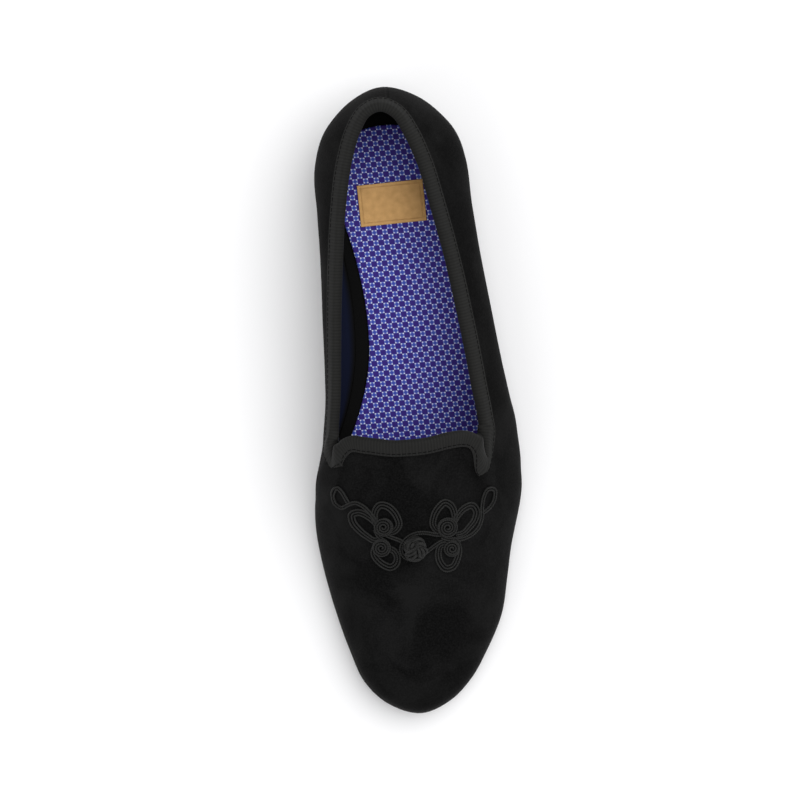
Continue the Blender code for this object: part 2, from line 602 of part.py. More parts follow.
def lay_on_vamp(points, surface):
    """Flat points of the ornament moved onto the upper, each at its own height over it."""
    laid = []
    for x, y, height in points:
        across = ORNAMENT_ACROSS * BALL_WIDTH + x
        start = Vector(place(ORNAMENT_ALONG * SHOE_LENGTH - y, across, 2 * INSTEP_HEIGHT))
        hit, _, index, _ = surface[0].ray_cast(start, Vector((0.0, 0.0, -1.0)))
        laid.append(hit + normal_at(surface, index) * (SEAT_GAP + height))
    return laid


def united(name, shapes, made_of):
    """One mesh from overlapping closed shapes."""
    base = add_mesh(name, *shapes[0], made_of)
    cutters = []
    for i, shape in enumerate(shapes[1:]):
        other = add_mesh(f"{name}_shape_{i}", *shape, made_of)
        other.hide_render = True
        other.display_type = "WIRE"
        joined = base.modifiers.new(f"join {i}", "BOOLEAN")
        joined.operation = "UNION"
        joined.solver = "EXACT"
        joined.object = other
        cutters.append(other)
    whole = bpy.data.meshes.new_from_object(base.evaluated_get(bpy.context.evaluated_depsgraph_get()))
    for obj in [base, *cutters]:
        bpy.data.objects.remove(obj, do_unlink=True)
    return whole


def build_cords(name, bands, cords, coils, surface, made_of):
    wide = 0.5 * BAND_WIDTH
    double = ((-wide, 0.0), (wide, 0.0), (0.95 * wide, 0.65 * BAND_HEIGHT), (0.5 * wide, BAND_HEIGHT),
              (0.0, 0.62 * BAND_HEIGHT), (-0.5 * wide, BAND_HEIGHT), (-0.95 * wide, 0.65 * BAND_HEIGHT))
    thin = 0.5 * CORD_WIDTH
    single = ((-thin, 0.05 * CORD_HEIGHT), (thin, 0.05 * CORD_HEIGHT), (0.9 * thin, 0.6 * CORD_HEIGHT),
              (0.0, CORD_HEIGHT), (-0.9 * thin, 0.6 * CORD_HEIGHT))
    shapes = [coil(spot[:2], spot[2]) for spot in coils]
    shapes += [swept(path, double) for path in bands]
    shapes += [swept(path, single) for path in cords]
    whole = united(name, shapes, made_of)
    laid = lay_on_vamp([tuple(v.co) for v in whole.vertices], surface)
    for vertex, spot in zip(whole.vertices, laid, strict=True):
        vertex.co = spot
    whole.name = name
    obj = bpy.data.objects.new(name, whole)
    bpy.context.scene.collection.objects.link(obj)
    return shade(obj, 50)


def build_knot(surface, made_of):
    """Ball knot that stands on a narrow stem inside the loop."""
    count = 16
    stages = np.linspace(-0.86, 1.0, 6)
    points = []
    for stage in stages:
        width = math.sqrt(max(1.0 - stage * stage, 0.0004))
        for i in range(count):
            turn = 2 * math.pi * i / count
            points.append((width * KNOT_RADIUS * math.cos(turn), width * KNOT_LENGTH * math.sin(turn),
                           KNOT_STEM + (stage - stages[0]) * KNOT_HEIGHT))
    points = [(x, y, 0.0) for x, y, _ in points[:count]] + points
    middle = lay_on_vamp([(0.0, KNOT_SHIFT, 0.0)], surface)[0]
    ahead = lay_on_vamp([(0.0, KNOT_SHIFT + KNOT_LENGTH, 0.0)], surface)[0] - middle
    over = lay_on_vamp([(KNOT_RADIUS, KNOT_SHIFT, 0.0)], surface)[0] - middle
    ahead.normalize()
    up = over.cross(ahead).normalized()
    over = ahead.cross(up)
    laid = [middle + over * x + ahead * y + up * z for x, y, z in points]
    faces = [tuple(reversed(range(count))), tuple(range(len(points) - count, len(points)))]
    for k in range(len(stages)):
        faces += ring_faces(k * count, (k + 1) * count, count)
    return shade(add_mesh("frog_knot", laid, faces, made_of), 60)


def build_shoe():
    clear_scene()
    velvet = material("black velvet", (0.012, 0.012, 0.013), 0.9)
    ribbon = material("grosgrain ribbon", (0.025, 0.025, 0.024), 0.7)
    cord = material("twisted cord", (0.03, 0.03, 0.03), 0.6)
    leather = material("black sole leather", (0.018, 0.016, 0.015), 0.45)
    rubber = material("black rubber", (0.02, 0.02, 0.02), 0.6)
    footbed = material("black footbed cloth", (0.008, 0.008, 0.009), 0.9)
    printed = material("printed twill", (0.11, 0.1, 0.45), 0.7)
    foil = material("gold foil", (0.5, 0.33, 0.12), 0.4, 0.8)
    surface = fine_surface()
    build_upper(velvet)
    build_ribbon(surface, ribbon)
    build_outsole(leather)
    build_heel(leather, rubber)
    build_insole(footbed)
    build_sock(printed)
    build_label(foil)
    build_cords("frog_knot_side", KNOT_SIDE_BANDS, KNOT_SIDE_CORDS, KNOT_SIDE_COILS, surface, cord)
    build_cords("frog_loop_side", LOOP_SIDE_BANDS, LOOP_SIDE_CORDS, LOOP_SIDE_COILS, surface, cord)
    build_knot(surface, cord)


build_shoe()
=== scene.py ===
import math

import bmesh
import bpy
import numpy as np
from mathutils import Matrix, Vector
from mathutils.bvhtree import BVHTree


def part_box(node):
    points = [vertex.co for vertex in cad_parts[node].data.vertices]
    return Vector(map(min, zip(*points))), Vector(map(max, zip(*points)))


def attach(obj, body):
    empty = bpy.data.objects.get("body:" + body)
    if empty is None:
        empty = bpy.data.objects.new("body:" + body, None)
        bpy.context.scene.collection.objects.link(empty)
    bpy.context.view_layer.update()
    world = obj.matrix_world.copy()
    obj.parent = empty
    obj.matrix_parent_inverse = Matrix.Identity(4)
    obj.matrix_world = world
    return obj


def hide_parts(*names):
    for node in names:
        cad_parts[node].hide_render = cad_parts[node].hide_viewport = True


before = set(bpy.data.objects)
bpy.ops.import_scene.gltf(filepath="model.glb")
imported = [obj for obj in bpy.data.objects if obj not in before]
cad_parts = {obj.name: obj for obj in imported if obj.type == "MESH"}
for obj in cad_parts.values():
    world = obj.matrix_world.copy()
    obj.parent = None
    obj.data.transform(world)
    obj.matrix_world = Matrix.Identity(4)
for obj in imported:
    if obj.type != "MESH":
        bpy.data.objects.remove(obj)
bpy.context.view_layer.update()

# Left slipper on its heel and tread: toe to -Y, outer side to +X, metres.
shoe = {
    "length": 0.256,
    "ballWidth": 0.086,
    "instepHeight": 0.056,
    "heelHeight": 0.012,
    "toeSpring": 0.0063,
    "heelCentre": 0.034,  # from the back of the shoe to the middle of the heel
    "heelMiddle": 0.0028,  # from the shoe's axis to the middle of the heel
    "wall": 0.002,
    "gap": 0.0003,
    "soleThick": 0.0035,
    "insoleThick": 0.003,
    "sockThick": 0.001,
    "steps": 8,  # columns between two sections
}

# Underside along the shoe: share of the length, share of the heel height, share of the toe spring.
soleLine = (
    (0.0, 1.0, 0.0),
    (0.12, 1.0, 0.0),
    (0.24, 1.0, 0.0),
    (0.3, 0.91, 0.0),
    (0.4, 0.58, 0.0),
    (0.5, 0.26, 0.0),
    (0.58, 0.07, 0.0),
    (0.64, 0.0, 0.0),
    (0.70, 0.0, 0.0),
    (0.76, 0.0, 0.0),
    (0.84, 0.0, 0.14),
    (0.92, 0.0, 0.48),
    (1.0, 0.0, 1.0),
)

# Sections of the upper from the back round the outer side to the toe and home. Columns: name; foot along,
# foot across; flare and rise of the wall at the foot; top along, top across, top height over the sole; lead
# of the curve into the topline along, across and down; share of the curve that is filled.
sections = (
    ("back", 0.016, 0.009, 0.076, 0.268, 0.040, -0.026, 0.804, -0.039, 0.0, 0.25, 1.0),
    ("outer back turn", 0.032, 0.156, 0.079, 0.268, 0.052, 0.047, 0.796, -0.029, 0.081, 0.259, 1.0),
    ("outer heel turn", 0.070, 0.270, 0.081, 0.268, 0.082, 0.098, 0.777, -0.016, 0.151, 0.259, 1.0),
    ("outer heel side", 0.125, 0.333, 0.081, 0.268, 0.129, 0.153, 0.741, -0.006, 0.18, 0.259, 1.0),
    ("outer heel front", 0.200, 0.357, 0.081, 0.259, 0.200, 0.206, 0.690, 0.0, 0.169, 0.25, 1.0),
    ("outer waist back", 0.281, 0.374, 0.087, 0.25, 0.277, 0.258, 0.652, 0.0, 0.163, 0.241, 1.0),
    ("outer waist", 0.367, 0.407, 0.093, 0.25, 0.355, 0.298, 0.662, 0.0, 0.157, 0.232, 1.0),
    ("outer waist front", 0.445, 0.449, 0.087, 0.25, 0.424, 0.330, 0.690, 0.004, 0.149, 0.223, 1.0),
    ("outer quarter", 0.520, 0.500, 0.076, 0.241, 0.480, 0.353, 0.707, 0.012, 0.14, 0.214, 1.0),
    ("outer quarter front", 0.582, 0.541, 0.064, 0.25, 0.516, 0.371, 0.718, 0.029, 0.105, 0.179, 1.0),
    ("outer notch back", 0.621, 0.556, 0.058, 0.268, 0.539, 0.379, 0.721, 0.049, 0.064, 0.134, 1.0),
    ("outer notch lip", 0.648, 0.556, 0.052, 0.304, 0.552, 0.383, 0.716, 0.068, -0.002, 0.064, 1.0),
    ("outer notch", 0.668, 0.548, 0.049, 0.339, 0.559, 0.369, 0.752, 0.082, -0.035, 0.036, 0.82),
    ("outer tab side", 0.690, 0.533, 0.049, 0.348, 0.565, 0.347, 0.806, 0.084, -0.048, 0.055, 1.0),
    ("outer tab corner", 0.715, 0.514, 0.047, 0.32, 0.559, 0.318, 0.848, 0.086, -0.024, 0.099, 1.0),
    ("outer tab shoulder", 0.744, 0.492, 0.042, 0.286, 0.556, 0.274, 0.877, 0.090, 0.017, 0.155, 1.0),
    ("outer forefoot", 0.793, 0.465, 0.037, 0.268, 0.557, 0.215, 0.916, 0.117, 0.07, 0.232, 1.0),
    ("small toe", 0.852, 0.427, 0.035, 0.304, 0.561, 0.151, 0.946, 0.148, 0.07, 0.295, 1.0),
    ("outer toe side", 0.906, 0.349, 0.033, 0.339, 0.564, 0.100, 0.967, 0.18, 0.058, 0.357, 1.0),
    ("outer toe turn", 0.952, 0.260, 0.029, 0.375, 0.565, 0.058, 0.977, 0.207, 0.041, 0.411, 1.0),
    ("outer toe corner", 0.982, 0.163, 0.026, 0.402, 0.5655, 0.026, 0.98, 0.227, 0.023, 0.446, 1.0),
    ("toe", 1.0, 0.024, 0.023, 0.414, 0.5655, -0.002, 0.98, 0.234, 0.006, 0.455, 1.0),
    ("inner toe corner", 0.980, -0.140, 0.026, 0.402, 0.5655, -0.033, 0.975, 0.227, -0.017, 0.446, 1.0),
    ("inner toe turn", 0.947, -0.233, 0.029, 0.375, 0.565, -0.065, 0.962, 0.207, -0.035, 0.411, 1.0),
    ("inner toe side", 0.897, -0.293, 0.033, 0.339, 0.563, -0.105, 0.943, 0.176, -0.052, 0.348, 1.0),
    ("big toe", 0.840, -0.344, 0.035, 0.304, 0.56, -0.151, 0.916, 0.144, -0.064, 0.286, 1.0),
    ("inner forefoot", 0.781, -0.386, 0.037, 0.268, 0.557, -0.202, 0.883, 0.113, -0.064, 0.223, 1.0),
    ("inner tab shoulder", 0.734, -0.411, 0.041, 0.27, 0.554, -0.249, 0.845, 0.082, -0.012, 0.134, 1.0),
    ("inner tab corner", 0.702, -0.422, 0.045, 0.30, 0.558, -0.286, 0.812, 0.076, 0.022, 0.09, 1.0),
    ("inner tab side", 0.676, -0.423, 0.048, 0.33, 0.566, -0.313, 0.782, 0.074, 0.039, 0.052, 1.0),
    ("inner notch", 0.654, -0.418, 0.05, 0.33, 0.562, -0.335, 0.722, 0.073, 0.033, 0.036, 0.88),
    ("inner notch lip", 0.632, -0.407, 0.052, 0.30, 0.556, -0.345, 0.702, 0.050, -0.02, 0.085, 1.0),
    ("inner notch back", 0.607, -0.384, 0.058, 0.268, 0.543, -0.336, 0.70, 0.043, -0.035, 0.107, 1.0),
    ("inner quarter front", 0.570, -0.337, 0.074, 0.241, 0.519, -0.326, 0.705, 0.025, -0.052, 0.161, 1.0),
    ("inner quarter", 0.520, -0.272, 0.105, 0.214, 0.484, -0.314, 0.704, 0.01, -0.064, 0.196, 1.0),
    ("inner waist front", 0.445, -0.208, 0.145, 0.175, 0.426, -0.301, 0.685, 0.0, -0.09, 0.214, 1.0),
    ("inner waist", 0.367, -0.192, 0.163, 0.148, 0.357, -0.287, 0.665, 0.0, -0.105, 0.223, 1.0),
    ("inner waist back", 0.281, -0.223, 0.143, 0.19, 0.277, -0.267, 0.666, 0.0, -0.112, 0.236, 1.0),
    ("inner heel front", 0.200, -0.272, 0.11, 0.235, 0.195, -0.240, 0.694, 0.0, -0.12, 0.245, 1.0),
    ("inner heel side", 0.125, -0.297, 0.09, 0.266, 0.124, -0.200, 0.744, -0.007, -0.132, 0.257, 1.0),
    ("inner heel turn", 0.068, -0.244, 0.081, 0.268, 0.076, -0.151, 0.777, -0.02, -0.116, 0.259, 1.0),
    ("inner back turn", 0.032, -0.137, 0.079, 0.268, 0.049, -0.100, 0.796, -0.031, -0.064, 0.259, 1.0),
)
notchRounding = 1.5  # power that rounds the lips of the notches


def linear(code):
    # sRGB hex to linear colour
    parts = [int(code[i:i + 2], 16) / 255 for i in (1, 3, 5)]
    return tuple(p / 12.92 if p <= 0.04045 else ((p + 0.055) / 1.055) ** 2.4 for p in parts) + (1.0,)


def addNode(tree, kind, settings=None, links=None):
    # one node with its settings (attributes, or input values by name or number) and the sockets that feed it
    node = tree.nodes.new(kind)
    for name, value in (settings or {}).items():
        if isinstance(name, str) and hasattr(node, name):
            setattr(node, name, value)
        else:
            node.inputs[name].default_value = value
    for name, source in (links or {}).items():
        tree.links.new(source, node.inputs[name])
    return node


def startMaterial(name, roughness, specular=0.5, more=None):
    made = bpy.data.materials.new(name)
    made.use_nodes = True
    shader = made.node_tree.nodes["Principled BSDF"]
    values = {"Roughness": roughness, "Specular IOR Level": specular, **(more or {})}
    for key, value in values.items():
        shader.inputs[key].default_value = value
    return made, made.node_tree, shader


def objectPlace(tree):
    return addNode(tree, "ShaderNodeTexCoord").outputs["Object"]


def noise(tree, where, scale, detail, more=None):
    settings = {"Scale": scale, "Detail": detail, **(more or {})}
    return addNode(tree, "ShaderNodeTexNoise", settings, {"Vector": where}).outputs["Fac"]


def bands(tree, where, pitch, settings):
    # even bands at a pitch; the node turns its wave by 20 radians for each unit of scale
    scale = 2 * math.pi / (20 * pitch)
    return addNode(tree, "ShaderNodeTexWave", {**settings, "Scale": scale}, {"Vector": where}).outputs["Fac"]


def ramp(tree, value, low, high, more=None):
    # 0 at the low value, 1 at the high one
    settings = {"From Min": low, "From Max": high, **(more or {})}
    return addNode(tree, "ShaderNodeMapRange", settings, {"Value": value}).outputs[0]


def maths(tree, operation, *given, more=None):
    links = {i: v for i, v in enumerate(given) if isinstance(v, bpy.types.NodeSocket)}
    values = {i: v for i, v in enumerate(given) if i not in links}
    settings = {"operation": operation, **values, **(more or {})}
    return addNode(tree, "ShaderNodeMath", settings, links).outputs[0]


def blend(tree, share, low, high):
    # the first colour where the share is 0, the second where it is 1; each a hex code or a socket
    colours = {6: low, 7: high}
    codes = {i: linear(colour) for i, colour in colours.items() if isinstance(colour, str)}
    links = {i: colour for i, colour in colours.items() if i not in codes}
    return addNode(tree, "ShaderNodeMix", {"data_type": "RGBA", **codes}, {0: share, **links}).outputs[2]


def colourBy(tree, shader, share, low, high):
    tree.links.new(blend(tree, share, low, high), shader.inputs["Base Color"])


def relief(tree, shader, height, strength, depth, under=None):
    # fine relief over the piece, on top of another one if it is given
    links = {"Height": height} if under is None else {"Height": height, "Normal": under}
    settings = {"Strength": strength, "Distance": depth}
    bump = addNode(tree, "ShaderNodeBump", settings, links).outputs["Normal"]
    tree.links.new(bump, shader.inputs["Normal"])
    return bump


def slopesAt(knots, values):
    steps = np.diff(knots)
    rates = np.diff(values, axis=0) / steps[:, None]
    inner = (steps[:-1, None] * rates[1:] + steps[1:, None] * rates[:-1]) / (steps[:-1] + steps[1:])[:, None]
    return np.vstack([rates[:1], inner, rates[-1:]])


def smoothCurve(knots, values, wanted):
    # smooth curve through the values, read at the wanted places
    knots = np.asarray(knots, float)
    values = np.asarray(values, float)
    tangents = slopesAt(knots, values)
    index = np.clip(np.searchsorted(knots, wanted, side="right") - 1, 0, len(knots) - 2)
    step = knots[index + 1] - knots[index]
    t = ((wanted - knots[index]) / step)[:, None]
    step = step[:, None]
    return (
        (2 * t**3 - 3 * t**2 + 1) * values[index]
        + (t**3 - 2 * t**2 + t) * step * tangents[index]
        + (3 * t**2 - 2 * t**3) * values[index + 1]
        + (t**3 - t**2) * step * tangents[index + 1]
    )


def soleBottom(along):
    table = np.array(soleLine)
    heights = table[:, 1:2] * shoe["heelHeight"] + table[:, 2:3] * shoe["toeSpring"]
    share = np.clip(np.asarray(along, float).ravel() / shoe["length"], 0.0, 1.0)
    found = smoothCurve(table[:, 0], heights, share)[:, 0]
    return np.clip(found, 0.0, None).reshape(np.shape(along))


def soleTop(along):
    return soleBottom(along) + shoe["soleThick"]


def place(along, across, height):
    across = np.asarray(across, float) + np.zeros(np.shape(along))
    height = np.asarray(height, float) + np.zeros(np.shape(along))
    behind = shoe["heelCentre"] - np.asarray(along, float)
    return np.stack([across - shoe["heelMiddle"], behind, height], axis=-1)


def alongOf(points):
    return shoe["heelCentre"] - points[..., 1]


def unit(vectors):
    return vectors / np.linalg.norm(vectors, axis=-1, keepdims=True)


def runOf(ring):
    # at each spot, from the spot before it to the spot after it
    return np.roll(ring, -1, axis=0) - np.roll(ring, 1, axis=0)


def outward(ring):
    # outward normals, seen from above, of a ring from the heel round the outer side
    ahead = runOf(ring)
    return unit(np.stack([-ahead[:, 1], ahead[:, 0], np.zeros(len(ring))], axis=-1))


def sectionColumns(steps):
    # foot, two handles and top of each column round the shoe, and the share of it that the wall fills
    length, ball, instep = shoe["length"], shoe["ballWidth"], shoe["instepHeight"]
    rows = np.array([row[1:] for row in sections])
    rows = rows * np.array([length, ball, ball, instep, length, ball, instep, length, ball, instep, 1.0])
    looped = np.vstack([rows[-3:], rows, rows[:3]])
    moves = np.diff(looped, axis=0)
    gaps = 0.5 * (np.hypot(moves[:, 0], moves[:, 1]) + np.linalg.norm(moves[:, 4:7], axis=1))
    knots = np.concatenate([[0.0], np.cumsum(gaps)])
    wanted = np.concatenate([
        np.linspace(knots[i + 3], knots[i + 4], steps, endpoint=False) for i in range(len(rows))
    ])
    found = smoothCurve(knots, looped, wanted)
    foot = place(found[:, 0], found[:, 1], soleTop(found[:, 0]) + shoe["gap"])
    top = place(found[:, 4], found[:, 5], soleTop(found[:, 4]) + found[:, 6])
    wall = foot + outward(foot) * found[:, 2:3]
    wall[:, 2] += found[:, 3]
    lead = top + np.stack([found[:, 8], -found[:, 7], -found[:, 9]], axis=-1)
    deepest = 1.0 - rows[:, 10].min()
    depth = np.clip((1.0 - np.interp(wanted, knots, looped[:, 10])) / deepest, 0.0, 1.0)
    filled = 1.0 - deepest * np.sin(0.5 * np.pi * depth) ** notchRounding
    return foot, wall, lead, top, filled


def upperSkin(steps, levels, whole=False):
    # points and outward normals of the outside of the upper, with the notches filled if whole
    foot, wall, lead, top, filled = sectionColumns(steps)
    controls = [part[:, None, :] for part in (foot, wall, lead, top)]
    t = (np.ones_like(filled) if whole else filled)[:, None, None] * np.asarray(levels)[None, :, None]
    shares = ((1 - t)**3, 3 * (1 - t)**2 * t, 3 * (1 - t) * t**2, t**3)
    grid = sum(share * spot for share, spot in zip(shares, controls, strict=True))
    a, b, c, d = controls
    rising = 3 * ((1 - t)**2 * (b - a) + 2 * (1 - t) * t * (c - b) + t**2 * (d - c))
    roundShoe = sum(share * runOf(spot) for share, spot in zip(shares, controls, strict=True))
    return grid, unit(np.cross(rising, roundShoe))


def innerSkin(grid, normals):
    inner = grid - normals * shoe["wall"]
    inner[:, 0] = grid[:, 0] - unit(normals[:, 0] * (1.0, 1.0, 0.0)) * shoe["wall"]
    return inner


def addObject(name, data):
    obj = bpy.data.objects.new(name, data)
    bpy.context.scene.collection.objects.link(obj)
    return obj


def addMesh(name, points, faces, materials, uvs=None):
    # closed mesh with outward faces, smooth
    mesh = bpy.data.meshes.new(name)
    mesh.from_pydata([tuple(p) for p in points], [], faces)
    if uvs is not None:
        layer = mesh.uv_layers.new(name="UVMap")
        for face in mesh.polygons:
            for corner in face.loop_indices:
                layer.data[corner].uv = uvs[face.index][corner - face.loop_start]
    shell = bmesh.new()
    shell.from_mesh(mesh)
    bmesh.ops.recalc_face_normals(shell, faces=shell.faces)
    if shell.calc_volume(signed=True) < 0.0:
        bmesh.ops.reverse_faces(shell, faces=shell.faces)
    shell.to_mesh(mesh)
    shell.free()
    for made in materials:
        mesh.materials.append(made)
    mesh.shade_smooth()
    return addObject(name, mesh)


def keepCreases(obj, degrees):
    obj.data.set_sharp_from_angle(angle=math.radians(degrees))
    return obj


def settle(obj, node):
    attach(obj, "root")
    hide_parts(node)
    return obj


def ringFaces(first, second, count):
    return [(first + i, first + (i + 1) % count, second + (i + 1) % count, second + i) for i in range(count)]


def tubeFaces(rings, count):
    return [face for k in range(rings - 1) for face in ringFaces(k * count, (k + 1) * count, count)]


def plate(name, rings, made):
    # solid from stacked rings, closed by faces from side to side
    count = len(rings[0])

    def crossing(start):
        faces = []
        for i in range(count // 2):
            corners = (start + i, start + i + 1, start + (count - i - 1) % count, start + (count - i) % count)
            faces.append(tuple(dict.fromkeys(corners)))
        return [face for face in faces if len(face) > 2]

    faces = [tuple(reversed(face)) for face in crossing(0)]
    faces += tubeFaces(len(rings), count) + crossing((len(rings) - 1) * count)
    return keepCreases(addMesh(name, np.concatenate(rings), faces, [made]), 35)


def atHeight(ring, heights):
    raised = ring.copy()
    raised[:, 2] = heights
    return raised


# Cotton velvet: a dense upright pile. It swallows light when seen along the pile and shows a soft pale
# sheen at glancing angles; soft blotches of sheen are also painted into its colour as greyer patches, with
# fine nap grain.
velvetLook = {"pile": "#070707", "sheenAndGrain": "#171717", "sheen": "#c9c4c6", "patch": 0.026, "nap": 0.0007,
              "pileBump": 0.00035, "seamShift": 0.0008, "seamHalf": 0.0011, "seamDepth": 0.0006,
              "seamFront": 0.015}


def makeVelvet():
    made, tree, shader = startMaterial("black cotton velvet", 0.95, 0.06, {
        "Sheen Weight": 0.04, "Sheen Roughness": 0.3, "Sheen Tint": linear(velvetLook["sheen"])})
    where = objectPlace(tree)
    sheenPatches = noise(tree, where, 1 / velvetLook["patch"], 3.0, {"Roughness": 0.55, "Distortion": 0.6})
    fine = noise(tree, where, 1 / velvetLook["nap"], 3.0)
    # painted sheen: large soft patches of the colour go greyer as blotches of sheen; the fine specks are nap
    # grain
    paintedSheen = ramp(tree, sheenPatches, 0.42, 0.72)
    speck = ramp(tree, fine, 0.4, 0.7, {"To Max": 0.6})
    total = maths(tree, "ADD", paintedSheen, speck, more={"use_clamp": True})
    colourBy(tree, shader, total, velvetLook["pile"], velvetLook["sheenAndGrain"])
    pile = relief(tree, shader, fine, 0.5, velvetLook["pileBump"])
    # the seam down the middle of the back, where the two halves meet
    axes = addNode(tree, "ShaderNodeSeparateXYZ", None, {"Vector": where}).outputs
    side = maths(tree, "ADD", axes["X"], shoe["heelMiddle"] - velvetLook["seamShift"])
    ahead = maths(tree, "LESS_THAN", axes["Y"], velvetLook["seamFront"])
    away = maths(tree, "MAXIMUM", maths(tree, "ABSOLUTE", side), ahead)
    seam = ramp(tree, away, 0.0, velvetLook["seamHalf"], {"interpolation_type": "SMOOTHSTEP"})
    relief(tree, shader, seam, 1.0, velvetLook["seamDepth"], pile)
    return made


# Cotton lining: plain woven and dyed, dull. Navy above, going darker to black towards the footbed.
liningLook = {"navy": "#0e142a", "black": "#080808", "stripTop": 0.003, "stripFade": 0.002, "thread": 0.0005}


def makeLining():
    made, tree, shader = startMaterial("woven cotton lining", 0.9, 0.15)
    height = addNode(tree, "ShaderNodeAttribute", {"attribute_name": "wallHeight"}).outputs["Fac"]
    above = ramp(tree, height, liningLook["stripTop"], liningLook["stripTop"] + liningLook["stripFade"])
    colourBy(tree, shader, above, liningLook["black"], liningLook["navy"])
    relief(tree, shader, noise(tree, objectPlace(tree), 1 / liningLook["thread"], 1.0), 0.4, 0.0002)
    return made


# Soft folds that the foot has walked into the upper, and two forms of the heel: middle (x, y, z), run (unit
# vector), half length, half width, depth; a trough sinks and a ridge stands out.
upperFolds = (
    ((0.040, -0.118, 0.022), (-0.35, 0.5, 0.8), 0.020, 0.0040, -0.0007),
    ((0.042, -0.100, 0.024), (-0.25, 0.45, 0.85), 0.022, 0.0045, 0.0005),
    ((-0.034, -0.112, 0.022), (0.3, 0.45, 0.85), 0.020, 0.0040, -0.0006),
    ((-0.028, -0.090, 0.024), (0.1, 0.5, 0.85), 0.022, 0.0045, 0.0004),
    ((0.018, -0.168, 0.030), (0.95, 0.25, -0.2), 0.022, 0.0050, -0.0004),
    ((-0.012, -0.176, 0.028), (0.95, -0.2, 0.1), 0.022, 0.0050, -0.0004),
    ((0.0235, 0.0095, 0.028), (0.0, 0.0, 1.0), 0.030, 0.0135, 0.0013),  # the heel bulges at its outer side
    ((-0.020, 0.029, 0.028), (0.0, 0.0, 1.0), 0.030, 0.0150, -0.0011),  # and is flatter at its inner side
)


def folded(grid, normals):
    # the skin with its soft folds, faded out at the sole and under the ribbon
    shift = np.zeros(grid.shape[:2])
    for middle, run, halfLength, halfWidth, depth in upperFolds:
        run = np.array(run) / np.linalg.norm(run)
        away = grid - np.array(middle)
        along = away @ run
        side = np.linalg.norm(away - along[..., None] * run, axis=2)
        shift += depth * np.exp(-(along / halfLength) ** 2 - (side / halfWidth) ** 2)
    levels = np.linspace(0.0, 1.0, grid.shape[1])[None, :]
    fade = np.clip(levels / 0.12, 0.0, 1.0) * np.clip((1.0 - levels) / 0.15, 0.0, 1.0)
    return grid + normals * (shift * fade)[..., None]


def makeUpper(velvet, lining):
    grid, normals = upperSkin(shoe["steps"], np.linspace(0.0, 1.0, 49))
    inner = innerSkin(grid, normals)
    outer = folded(grid, normals)
    count, deep = grid.shape[:2]
    rings = [outer[:, k] for k in range(deep)] + [inner[:, k] for k in reversed(range(deep))]
    points = np.concatenate(rings)
    faces = tubeFaces(len(rings), count) + ringFaces((len(rings) - 1) * count, 0, count)
    obj = addMesh("velvet_upper", points, faces, [velvet, lining])
    for i, face in enumerate(obj.data.polygons):
        face.material_index = 1 if i // count >= deep else 0
    heights = obj.data.attributes.new("wallHeight", "FLOAT", "POINT")
    values = points[:, 2] - soleTop(alongOf(points))
    heights.data.foreach_set("value", values.astype(np.float32))
    return settle(keepCreases(obj, 50), "upper")


def wholeSurface():
    # the outside of the upper with its notches filled, to lay ribbon and cords on
    levels = np.linspace(0.0, 1.0, 60)
    grid, normals = upperSkin(shoe["steps"], levels, whole=True)
    faces = tubeFaces(len(levels), len(grid))
    tree = BVHTree.FromPolygons([tuple(p) for p in grid.transpose(1, 0, 2).reshape(-1, 3)], faces)
    return tree, normals.transpose(1, 0, 2).reshape(-1, 3), faces


def normalAt(surface, index):
    return Vector(np.mean([surface[1][v] for v in surface[2][index]], axis=0)).normalized()


def nearestOn(surface, spot):
    hit, _, index, _ = surface[0].find_nearest(spot)
    return hit, normalAt(surface, index)


# Grosgrain: a ribbon of silk or rayon warp over thick cotton weft, so fine ribs run across it. Dull; each rib
# has a painted highlight on its crest and painted shade in the groove beside it.
# groove is the painted shade between the ribs; stain sets the size of random darker patches
ribbonLook = {"colour": "#1d1d1c", "groove": "#151514", "stain": 260.0, "ribPitch": 0.00125,
              "ribDepth": 0.00007}
ribbon = {"leg": 0.005, "thick": 0.0008, "roundEdge": 0.0001, "easing": 96, "loosening": 24, "rounding": 24,
          "leastFacing": 0.45, "gap": 0.00025, "slack": 0.0006, "tail": (-0.0035, -0.0045, 0.0),
          "tailHalf": 0.006}
stitching = {"pitch": 0.0021, "length": 0.0015, "thick": 0.00016, "depth": 0.004, "lift": 0.00002,
             "colour": "#060606"}


def makeRibbonCloth():
    made, tree, shader = startMaterial("black grosgrain ribbon", 0.8, 0.2, {
        "Sheen Weight": 0.04, "Sheen Roughness": 0.4})
    uv = addNode(tree, "ShaderNodeUVMap", {"uv_map": "UVMap"}).outputs["UV"]
    ribs = bands(tree, uv, ribbonLook["ribPitch"], {
        "wave_type": "BANDS", "bands_direction": "X", "Distortion": 0.5, "Detail": 1.0})
    # painted highlight on the rib crests and painted shade in the grooves, dimmed in random patches
    ribShadeAndStain = maths(tree, "MULTIPLY", ribs, noise(tree, uv, ribbonLook["stain"], 4.0))
    colourBy(tree, shader, ramp(tree, ribShadeAndStain, 0.02, 0.42), ribbonLook["groove"], ribbonLook["colour"])
    relief(tree, shader, ribs, 0.5, ribbonLook["ribDepth"])
    return made


def eased(ring, rounds):
    for _ in range(rounds):
        ring = 0.5 * ring + 0.25 * (np.roll(ring, 1, axis=0) + np.roll(ring, -1, axis=0))
    return ring


